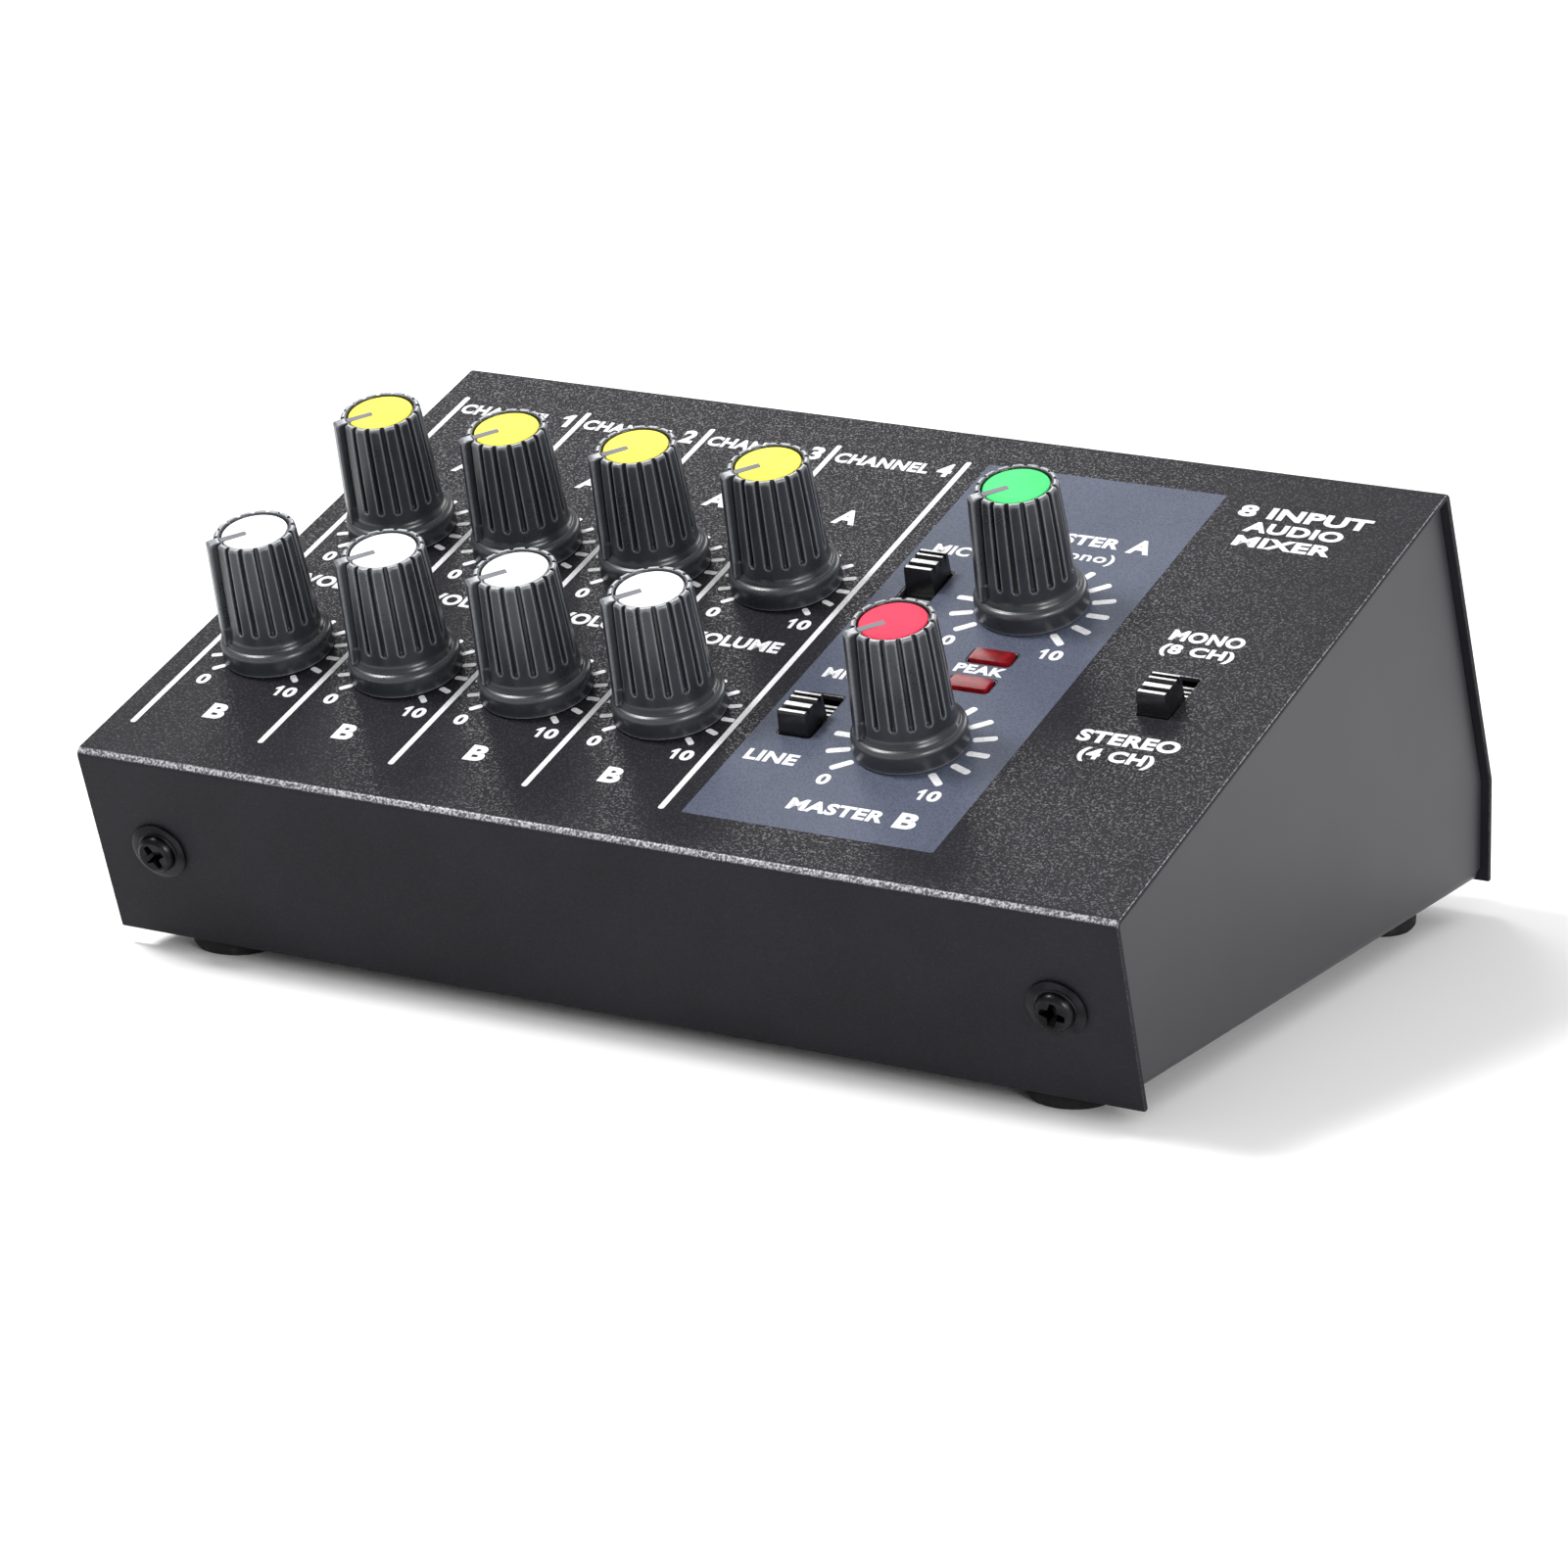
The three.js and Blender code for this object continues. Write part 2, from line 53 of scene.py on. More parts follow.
# Driving sizes of the mixer, in millimetres
SHEET = 1.0
BEND = 1.5
GAP = 0.3
WIDTH = 184.0
PANEL_LENGTH = 128.8
PANEL_RISE = 19.0
FRONT_LENGTH = 34.9
FRONT_TURN = 111.2
REAR_LENGTH = 59.7
REAR_TURN = -64.5
SKIRT_LENGTH = 18.2
SKIRT_TURN = -84.3
SIDE_INSET = 1.5
FRONT_FLANGE = 24.0
REAR_FLANGE = 13.0
POINTER = math.radians(225)
JACK_BORE_CLEAR = 4.9
INLET_CLEAR = 5.8
SHAFT_CLEAR = 4.3
SCREW_CLEAR = 1.75
SCREW_INSET = 12.0
FRONT_SCREW_V = -17.5
REAR_SCREW_V = 9.0

CHANNELS = [17.0, 41.4, 65.8, 90.2]
ROW_A = 75.6
ROW_B = 35.6
CONTROLS = {f"channel_{k + 1}_a": (u, ROW_A, "yellow") for k, u in enumerate(CHANNELS)}
CONTROLS |= {f"channel_{k + 1}_b": (u, ROW_B, "white") for k, u in enumerate(CHANNELS)}
CONTROLS |= {"master_a": (133.0, 78.7, "green"), "master_b": (132.3, 36.5, "red")}
SWITCHES = {"input_a": (112.8, 79.3, 1), "input_b": (112.8, 40.2, -1), "mode": (165.4, 59.6, -1)}
TRAVEL = 5.4
LAMPS = {"a": (133.4, 63.1), "b": (133.4, 55.0)}
JACKS = {f"channel_{k + 1}": u for k, u in enumerate(CHANNELS)} | {"output": 133.0}
JACK_ROWS = (17.0, 38.5)
INLET = (165.4, 38.5)
SLOT_SIZE = (5.7, 12.3)
WINDOW_SIZE = (7.5, 3.9)


# ---- places: each face of the case has its own x, y and an outward z, in millimetres ----

turn_places = {joint["name"]: joint for joint in frame["joints"]}
first_control = Vector(turn_places["channel_1_b_turn"]["pos_m"]) / MM
UP_SLOPE = Vector((0, math.cos(math.radians(PANEL_RISE)), math.sin(math.radians(PANEL_RISE))))
FRONT_TOP = first_control - X_AXIS * CHANNELS[0] - UP_SLOPE * ROW_B


def along(point, length, turn):
    """The point that far along a face that leaves the horizontal by a turn, in degrees."""
    heading = Vector((0, math.cos(math.radians(turn)), math.sin(math.radians(turn))))
    return point + heading * length


REAR_TOP = along(FRONT_TOP, PANEL_LENGTH, PANEL_RISE)
REAR_MID = along(REAR_TOP, REAR_LENGTH, REAR_TURN)
FRONT_FOOT = along(FRONT_TOP, -FRONT_LENGTH, FRONT_TURN)


def face_place(corner, turn):
    return Matrix.Translation(corner) @ Matrix.Rotation(math.radians(turn), 4, "X")


ROW = Matrix.Identity(4)
PANEL = face_place(FRONT_TOP, PANEL_RISE)
FRONT = face_place(FRONT_TOP, FRONT_TURN)
REAR = face_place(REAR_TOP, REAR_TURN)
SKIRT = face_place(REAR_MID, SKIRT_TURN)


def at(face, u, v, turn=0.0):
    """A place on a face, with its own turn about the face's normal."""
    return face @ Matrix.Translation((u, v, 0)) @ Matrix.Rotation(turn, 4, "Z")


# ---- finishes ----

class Value:
    """A socket in a finish that takes part in sums."""

    def __init__(self, finish, socket):
        self.finish = finish
        self.socket = socket

    def _sum(self, operation, first, second):
        return self.finish.node("ShaderNodeMath", {"operation": operation}, {0: first, 1: second})

    def __add__(self, other):
        return self._sum("ADD", self, other)

    def __radd__(self, other):
        return self._sum("ADD", other, self)

    def __sub__(self, other):
        return self._sum("SUBTRACT", self, other)

    def __rsub__(self, other):
        return self._sum("SUBTRACT", other, self)

    def __mul__(self, other):
        return self._sum("MULTIPLY", self, other)

    def __rmul__(self, other):
        return self._sum("MULTIPLY", other, self)


class Finish:
    """A material with one shader. Sizes are in millimetres and patterns sit in the object's own space."""

    def __init__(self, name, **constants):
        self.material = bpy.data.materials.new(name)
        self.material.use_nodes = True
        self.tree = self.material.node_tree
        self.shader = self.tree.nodes["Principled BSDF"]
        for socket, value in constants.items():
            self.shader.inputs[socket.replace("_", " ")].default_value = value

    def node(self, kind, settings=None, inputs=None, output=0):
        node = self.tree.nodes.new(kind)
        for key, value in (settings or {}).items():
            setattr(node, key, value)
        for key, value in (inputs or {}).items():
            if isinstance(value, Value):
                self.tree.links.new(value.socket, node.inputs[key])
            else:
                node.inputs[key].default_value = value
        return Value(self, node.outputs[output])

    def place(self, stretch=(1, 1, 1), turn=(0, 0, 0)):
        spot = self.node("ShaderNodeTexCoord", output="Object")
        settings = {"vector_type": "POINT"}
        return self.node("ShaderNodeMapping", settings, {"Vector": spot, "Scale": stretch, "Rotation": turn})

    def noise(self, size, detail=2.0, roughness=0.5, stretch=(1, 1, 1), turn=(0, 0, 0)):
        inputs = {"Vector": self.place(stretch, turn), "Scale": 1000 / size}
        inputs |= {"Detail": detail, "Roughness": roughness}
        return self.node("ShaderNodeTexNoise", {}, inputs)

    def specks(self, size, feature="F1"):
        inputs = {"Vector": self.place(), "Scale": 1000 / size}
        return self.node("ShaderNodeTexVoronoi", {"feature": feature}, inputs)

    def fade(self, value, low, high, to_low=0.0, to_high=1.0):
        """Smoothly from to_low where the value is at or under low, to to_high at or over high."""
        inputs = {"Value": value, "From Min": low, "From Max": high, "To Min": to_low, "To Max": to_high}
        return self.node("ShaderNodeMapRange", {"interpolation_type": "SMOOTHSTEP"}, inputs)

    def mix(self, share, first, second):
        inputs = {"Factor": share, 6: first, 7: second}
        return self.node("ShaderNodeMix", {"data_type": "RGBA"}, inputs, output=2)

    def facing(self, direction):
        """How squarely the surface faces a direction of the row frame, from -1 to 1."""
        normal = self.node("ShaderNodeNewGeometry", output="Normal")
        return self.node("ShaderNodeVectorMath", {"operation": "DOT_PRODUCT"},
                         {0: normal, 1: direction}, output="Value")

    def give(self, socket, value):
        self.tree.links.new(value.socket, self.shader.inputs[socket])

    def bump(self, height, depth, strength=1.0):
        inputs = {"Height": height, "Distance": depth * MM, "Strength": strength}
        self.give("Normal", self.node("ShaderNodeBump", {}, inputs))


def tone(red, green, blue):
    """A colour given as it looks on a screen, 0 to 255, as the shader wants it."""
    linear = [((c / 255 + 0.055) / 1.055) ** 2.4 if c > 10 else c / 255 / 12.92 for c in (red, green, blue)]
    return (*linear, 1.0)


def slope_normal(turn):
    """The outward direction of a face of the case that leaves the horizontal by a turn."""
    return (0.0, -math.sin(math.radians(turn)), math.cos(math.radians(turn)))


def grained_paint(name, dark, light, grain, depth, rough, gloss, sheen, highlight_tone=None):
    """Baked paint on steel: a fine raised grain with glossier tops, and slow patches under it. The grain tops
    are painted paler on upward faces only, a painted sheen that makes the top lighter than the front. A
    highlight tone, when given, paints highlights along the bends and the cut edges.
    """
    paint = Finish(name, Specular_IOR_Level=sheen, Coat_Roughness=0.16)
    fine = paint.noise(grain, detail=2.0, roughness=0.6)
    broad = paint.noise(18.0, detail=2.0)
    tops = paint.fade(fine, 0.5, 0.66)
    upward = paint.fade(paint.facing((0, 0, 1)), -0.1, 0.5, 0.12, 1.0)
    # Painted sheen: the paler grain tops show only where the face looks up, so the top reads lighter than the
    # front.
    share = tops * upward * 0.6 + paint.fade(broad, 0.3, 0.7) * 0.1
    body = paint.mix(share, dark, light)
    shine = tops * upward * gloss
    # Painted highlights: a pale speckled colour along the front and rear bends and the upper corners of the
    # cut edges, where these rounded edges catch the light.
    if highlight_tone:
        front_crest = paint.fade(paint.facing(slope_normal(PANEL_RISE * 0.58 + FRONT_TURN * 0.42)), 0.9, 0.99)
        rear_crest = paint.fade(paint.facing(slope_normal((PANEL_RISE + REAR_TURN) / 2)), 0.85, 0.97)
        across = paint.facing((1, 0, 0))
        outward = across * across
        cut = paint.fade(outward, 0.04, 0.2) - paint.fade(outward, 0.6, 0.9)
        painted_highlight = (front_crest + rear_crest * 0.6 + cut * upward * 0.8) * paint.fade(fine, 0.4, 0.6, 0.15, 1.0)
        body = paint.mix(painted_highlight * 0.7, body, highlight_tone)
        shine = shine + front_crest * 0.2
    paint.give("Base Color", body)
    paint.give("Roughness", rough - shine + broad * 0.06)
    paint.give("Coat Weight", shine * 0.7)
    paint.bump(fine * upward, depth)
    return paint.material


def moulded(name, colour, shade, rough, depth=0.012, grain=0.25, gloss=0.5, highlight_tone=None, edges=0.0, tops=0.0):
    """Moulded plastic with the mould's faint texture. Its edges and its tops get a painted highlight in a
    paler colour, each by a share.
    """
    plastic = Finish(name, Specular_IOR_Level=gloss)
    fine = plastic.noise(grain, detail=3.0)
    broad = plastic.noise(6.0, detail=2.0)
    share = plastic.fade(broad, 0.3, 0.7) * 0.6 + fine * 0.4
    body = plastic.mix(share, shade, colour)
    if highlight_tone:
        # Painted highlights: a paler colour on sharp convex edges and on faces that lie level with the panel,
        # where light glints.
        bend = plastic.node("ShaderNodeNewGeometry", output="Pointiness")
        level = plastic.fade(plastic.facing(slope_normal(PANEL_RISE)), 0.9, 0.98)
        streaks = plastic.noise(0.5, detail=3.0)
        painted_highlight = plastic.fade(bend, 0.515, 0.56) * (0.4 + streaks) * edges + level * (0.3 + streaks) * tops
        body = plastic.mix(painted_highlight, body, highlight_tone)
    plastic.give("Base Color", body)
    plastic.give("Roughness", rough + broad * 0.08 + fine * 0.06)
    plastic.bump(fine, depth)
    return plastic.material


def bare_metal(name, colour, shade, rough, depth=0.006):
    """Plated or turned metal with fine lines across it."""
    metal = Finish(name, Metallic=1.0)
    lines = metal.noise(0.3, detail=2.0, stretch=(0.15, 1, 1))
    broad = metal.noise(4.0)
    metal.give("Base Color", metal.mix(metal.fade(broad, 0.3, 0.7), shade, colour))
    metal.give("Roughness", rough + lines * 0.12)
    metal.bump(lines, depth)
    return metal.material


def ink(name, colour, worn, rough=0.55, grain=0.35, depth=0.02):
    """Screen-printed ink that follows the grain of the paint under it."""
    print_ink = Finish(name, Specular_IOR_Level=0.3)
    fine = print_ink.noise(grain, detail=2.0, roughness=0.6)
    broad = print_ink.noise(15.0)
    share = print_ink.fade(fine, 0.35, 0.6) * 0.8 + print_ink.fade(broad, 0.3, 0.7) * 0.2
    print_ink.give("Base Color", print_ink.mix(share, worn, colour))
    print_ink.give("Roughness", rough + fine * 0.1)
    print_ink.bump(fine, depth)
    return print_ink.material


def circuit_board():
    board = Finish("circuit_board", Specular_IOR_Level=0.5)
    weave = board.noise(0.6, detail=2.0, stretch=(1, 0.3, 1))
    tracks = board.specks(3.0, "DISTANCE_TO_EDGE")
    lane = board.fade(tracks, 0.06, 0.1)
    board.give("Base Color", board.mix(lane, tone(62, 118, 66), tone(24, 78, 42)))
    board.give("Roughness", 0.35 + weave * 0.15)
    board.bump(lane * -0.5 + weave * 0.2, 0.03)
    return board.material


def lamp_plastic():
    lamp = Finish("lamp_plastic", Specular_IOR_Level=0.2)
    swirl = lamp.noise(1.6, detail=3.0)
    lamp.give("Base Color", lamp.mix(lamp.fade(swirl, 0.3, 0.7), tone(98, 4, 12), tone(140, 12, 24)))
    lamp.give("Roughness", 0.26 + swirl * 0.1)
    lamp.bump(swirl, 0.03)
    return lamp.material


def foot_rubber():
    rubber = Finish("foot_rubber", Specular_IOR_Level=0.3)
    fine = rubber.noise(0.4, detail=4.0)
    dust = rubber.fade(rubber.noise(2.5, detail=3.0), 0.55, 0.75)
    rubber.give("Base Color", rubber.mix(dust, tone(22, 22, 23), tone(46, 46, 47)))
    rubber.give("Roughness", 0.75 + fine * 0.2)
    rubber.bump(fine, 0.04)
    return rubber.material


def flat_cable():
    cable = Finish("flat_cable")
    inputs = {"Vector": cable.place(), "Scale": 250.0}
    wires = cable.node("ShaderNodeTexWave", {"bands_direction": "X"}, inputs)
    fine = cable.noise(0.5)
    cable.give("Base Color", cable.mix(wires, tone(120, 122, 126), tone(176, 178, 182)))
    cable.give("Roughness", 0.5 + fine * 0.15)
    cable.bump(wires, 0.2)
    return cable.material


FINISHES = {
    # The cover's last tone is the colour of its painted highlights along the bends and cut edges.
    "cover_paint": grained_paint("cover_paint", tone(26, 25, 30), tone(57, 56, 61), 0.42, 0.14, 0.6,
                                 0.24, 0.16, tone(196, 195, 200)),
    "tray_paint": grained_paint("tray_paint", tone(43, 43, 47), tone(51, 51, 55), 0.5, 0.012, 0.42,
                                0.06, 0.35),
    "rubber": foot_rubber(),
    "screw_steel": bare_metal("screw_steel", tone(44, 44, 46), tone(26, 26, 28), 0.24),
    # The knob's last tone paints highlights on its land edges and rim tops.
    "knob_plastic": moulded("knob_plastic", tone(44, 46, 51), tone(34, 36, 40), 0.22, 0.006,
                            highlight_tone=tone(150, 153, 158), edges=0.5, tops=0.9),
    "cap_yellow": moulded("cap_yellow", tone(250, 238, 98), tone(244, 228, 80), 0.5, gloss=0.12),
    "cap_white": moulded("cap_white", tone(248, 248, 248), tone(236, 236, 238), 0.5, gloss=0.12),
    "cap_green": moulded("cap_green", tone(84, 226, 128), tone(66, 210, 112), 0.5, gloss=0.12),
    "cap_red": moulded("cap_red", tone(240, 66, 92), tone(226, 50, 78), 0.5, gloss=0.12),
    "shaft_metal": bare_metal("shaft_metal", tone(206, 206, 210), tone(180, 180, 184), 0.22),
    # The lever's last tone paints white highlights on its ridge tops.
    "lever_plastic": moulded("lever_plastic", tone(24, 24, 27), tone(16, 16, 18), 0.16, 0.004,
                             highlight_tone=tone(236, 236, 234), tops=1.1),
    "switch_steel": bare_metal("switch_steel", tone(196, 196, 198), tone(164, 164, 168), 0.28),
    "board": circuit_board(),
    "lamp_red": lamp_plastic(),
    "jack_plastic": moulded("jack_plastic", tone(34, 34, 36), tone(24, 24, 26), 0.34),
    "ribbon": flat_cable(),
}
WHITE_INK = ink("white_ink", tone(238, 238, 240), tone(214, 214, 218))
BLUE_INK = ink("blue_ink", tone(87, 93, 111), tone(64, 70, 86), depth=0.06)
BAR_PLASTIC = moulded("bar_plastic", tone(122, 124, 129), tone(98, 100, 105), 0.5, gloss=0.3)


# ---- making pieces ----

def make(name, bm, place, slot, body, replaces=(), material=None, smooth=True, corner=35.0):
    """Puts a shape drawn in a face's millimetres in the row frame and hangs it under the empty of its body.
    """
    bm.transform(Matrix.Scale(MM, 4) @ place)
    mesh = bpy.data.meshes.new(name)
    bm.to_mesh(mesh)
    bm.free()
    for face in mesh.polygons:
        face.use_smooth = smooth
    if smooth:
        mesh.set_sharp_from_angle(angle=math.radians(corner))
    obj = bpy.data.objects.new(name, mesh)
    bpy.context.scene.collection.objects.link(obj)
    mesh.materials.append(material or FINISHES[slot])
    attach(obj, body)
    if replaces:
        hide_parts(*replaces)
    return obj


def settle(bm):
    """Merges what meets and turns every face outwards."""
    bmesh.ops.remove_doubles(bm, verts=bm.verts, dist=1e-4)
    bmesh.ops.recalc_face_normals(bm, faces=bm.faces)
    return bm


def ring(u, v, radius, sides, turn=0.0):
    steps = [turn + 2 * math.pi * k / sides for k in range(sides)]
    return [(u + radius * math.cos(a), v + radius * math.sin(a)) for a in steps]


def rounded(u, v, width, height, radius, sides=5):
    """A rectangle round a middle, with rounded corners."""
    points = []
    for k, (su, sv) in enumerate([(1, 1), (-1, 1), (-1, -1), (1, -1)]):
        cu = u + su * (width / 2 - radius)
        cv = v + sv * (height / 2 - radius)
        for step in range(sides + 1):
            a = math.pi / 2 * (k + step / sides)
            points.append((cu + radius * math.cos(a), cv + radius * math.sin(a)))
    return points


def loop(bm, points, z):
    verts = [bm.verts.new((*point, z)) for point in points]
    return [bm.edges.new((verts[k - 1], vert)) for k, vert in enumerate(verts)]


def filled(bm, outline, holes=(), z=0.0):
    """A flat face with holes in it."""
    edges = loop(bm, outline, z)
    for hole in holes:
        edges += loop(bm, hole, z)
    made = bmesh.ops.triangle_fill(bm, use_beauty=True, edges=edges, normal=Z_AXIS)
    return [item for item in made["geom"] if isinstance(item, bmesh.types.BMFace)]


def plate(bm, outline, z0, z1, holes=()):
    """A flat plate with holes through it."""
    faces = filled(bm, outline, holes, z0)
    made = bmesh.ops.extrude_face_region(bm, geom=faces)["geom"]
    verts = [item for item in made if isinstance(item, bmesh.types.BMVert)]
    bmesh.ops.translate(bm, verts=verts, vec=(0, 0, z1 - z0))
    return verts


def turned(bm, profile, sides, turn=0.0):
    """A solid of revolution about z from a list of (radius, height)."""
    verts = [bm.verts.new((r, 0, z)) for r, z in profile]
    edges = [bm.edges.new(pair) for pair in zip(verts, verts[1:])]
    bmesh.ops.spin(bm, geom=verts + edges, cent=(0, 0, 0), axis=Z_AXIS, dvec=(0, 0, 0),
                   angle=2 * math.pi, steps=sides, use_merge=True, use_duplicate=False)
    settle(bm)
    if turn:
        bmesh.ops.rotate(bm, verts=bm.verts, cent=(0, 0, 0), matrix=Matrix.Rotation(turn, 3, "Z"))
    return bm


def soften(bm, width, segments=2, corner=30.0, only=None):
    """Rounds every edge sharper than the corner angle."""
    limit = math.radians(corner)
    sharp = [e for e in bm.edges if len(e.link_faces) == 2 and e.calc_face_angle(0) > limit]
    if only:
        sharp = [e for e in sharp if only(e)]
    bmesh.ops.bevel(bm, geom=sharp, offset=width, affect="EDGES", segments=segments,
                    profile=0.5, material=-1, clamp_overlap=True)
    return bm


def join_in(bm, part, place=ROW):
    """Puts a shape in another at a place."""
    part.transform(place)
    mesh = bpy.data.meshes.new("part")
    part.to_mesh(mesh)
    part.free()
    bm.from_mesh(mesh)
    bpy.data.meshes.remove(mesh)


def joined(*parts):
    """Several closed shapes as one piece."""
    whole = bmesh.new()
    for part, place in parts:
        join_in(whole, part, place)
    return whole


def solid_bar(outline, x0, x1):
    """An outline in y and z carried along x."""
    bm = bmesh.new()
    plate(bm, outline, x0, x1)
    bmesh.ops.recalc_face_normals(bm, faces=bm.faces)
    bm.transform(Matrix(((0, 0, 1, 0), (1, 0, 0, 0), (0, 1, 0, 0), (0, 0, 0, 1))))
    return bm


# ---- cover: one sheet bent along three lines ----

def tangent(turn):
    """How far from a corner its bend starts."""
    return BEND * math.tan(math.radians(abs(turn)) / 2)


FOLD_MARKS = (0.0, 24.5, 157.0, WIDTH)  # the flats are laid out in three lengths that keep the holes apart


def cover():
    bm = bmesh.new()
    front_reach = tangent(FRONT_TURN - PANEL_RISE)
    rear_reach = tangent(PANEL_RISE - REAR_TURN)
    skirt_reach = tangent(REAR_TURN - SKIRT_TURN)
    shaft_holes = [ring(u, v, SHAFT_CLEAR, 40) for u, v, _ in CONTROLS.values()]
    slots = [rounded(u, v, *SLOT_SIZE, 0.5) for u, v, _ in SWITCHES.values()]
    windows = [rounded(u, v, *WINDOW_SIZE, 0.7) for u, v in LAMPS.values()]
    jack_holes = [ring(u, s, JACK_BORE_CLEAR, 40) for u in JACKS.values() for s in JACK_ROWS]
    jack_holes.append(ring(*INLET, INLET_CLEAR, 40))
    screw_u = (SCREW_INSET, WIDTH - SCREW_INSET)
    front_holes = [ring(u, FRONT_SCREW_V, SCREW_CLEAR, 24) for u in screw_u]
    rear_holes = [ring(u, REAR_SCREW_V, SCREW_CLEAR, 24) for u in screw_u]
    spans = [
        (FRONT, -FRONT_LENGTH, -front_reach, front_holes),
        (PANEL, front_reach, PANEL_LENGTH - rear_reach, shaft_holes + slots + windows),
        (REAR, rear_reach, REAR_LENGTH - skirt_reach, jack_holes),
        (SKIRT, skirt_reach, SKIRT_LENGTH, rear_holes),
    ]
    for place, v0, v1, holes in spans:
        flat = bmesh.new()
        for u0, u1 in zip(FOLD_MARKS, FOLD_MARKS[1:]):
            inside = [hole for hole in holes if u0 < hole[0][0] < u1]
            filled(flat, [(u0, v0), (u1, v0), (u1, v1), (u0, v1)], inside)
        for face in flat.faces:
            if face.normal.z < 0:
                face.normal_flip()
        join_in(bm, flat, place)
    for face in bm.faces:
        face.smooth = False
    bends = [
        (PANEL, front_reach, FRONT_TURN - PANEL_RISE, 14),
        (PANEL, PANEL_LENGTH - rear_reach, REAR_TURN - PANEL_RISE, 14),
        (REAR, REAR_LENGTH - skirt_reach, SKIRT_TURN - REAR_TURN, 4),
    ]
    for place, v, turn, steps in bends:
        verts = [bm.verts.new(place @ Vector((u, v, 0))) for u in FOLD_MARKS]
        edges = [bm.edges.new(pair) for pair in zip(verts, verts[1:])]
        centre = place @ Vector((0, v, -BEND))
        bmesh.ops.spin(bm, geom=verts + edges, cent=centre, axis=X_AXIS, dvec=(0, 0, 0),
                       angle=math.radians(turn), steps=steps, use_merge=False, use_duplicate=False)
    bmesh.ops.remove_doubles(bm, verts=bm.verts, dist=1e-3)
    bmesh.ops.recalc_face_normals(bm, faces=bm.faces)
    middle = Vector((FRONT_TOP.x + WIDTH / 2, 0, 30))
    top = max(bm.faces, key=lambda face: face.calc_area())
    if (top.calc_center_median() - middle).dot(top.normal) < 0:
        bmesh.ops.reverse_faces(bm, faces=bm.faces)
    return bm


def curved(face, places):
    """True where a face's normal is none of the flat faces' normals."""
    return all(face.normal.dot(place.to_3x3() @ Z_AXIS) < 0.99995 for place in places)


def finish_sheet(obj, rim, flats):
    """Gives a bent sheet its thickness and breaks its cut edges."""
    for face in obj.data.polygons:
        face.use_smooth = curved(face, flats)
    wall = obj.modifiers.new("wall", "SOLIDIFY")
    wall.thickness = SHEET * MM
    wall.offset = -1.0
    wall.use_even_offset = True
    edge = obj.modifiers.new("edge", "BEVEL")
    edge.limit_method = "ANGLE"
    edge.angle_limit = math.radians(50)
    edge.width = rim * MM
    edge.segments = 3
    edge.use_clamp_overlap = True


top_cover = make("bent_cover", cover(), ROW, "cover_paint", "case", ["top_cover"])
finish_sheet(top_cover, 0.3, [PANEL, FRONT, REAR, SKIRT])


# ---- tray: bottom, sides and two flanges, bent from one sheet ----

def moved_in(point, turn, distance):
    return along(point, distance, turn - 90)


def meet(first, first_turn, second, second_turn):
    """Where two lines in the case's section cross."""
    ca = math.cos(math.radians(first_turn))
    sa = math.sin(math.radians(first_turn))
    cb = math.cos(math.radians(second_turn))
    sb = math.sin(math.radians(second_turn))
    gap = second - first
    reach = (gap.y * sb - gap.z * cb) / (ca * sb - sa * cb)
    return along(first, reach, first_turn)


TRAY_FLOOR = Vector((0, 0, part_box("base_tray")[0].z / MM))
INNER = [
    (moved_in(FRONT_FOOT, FRONT_TURN, SHEET + GAP), FRONT_TURN),
    (moved_in(FRONT_TOP, PANEL_RISE, SHEET + GAP), PANEL_RISE),
    (moved_in(REAR_TOP, REAR_TURN, SHEET + GAP), REAR_TURN),
    (moved_in(REAR_MID, SKIRT_TURN, SHEET + GAP), SKIRT_TURN),
]


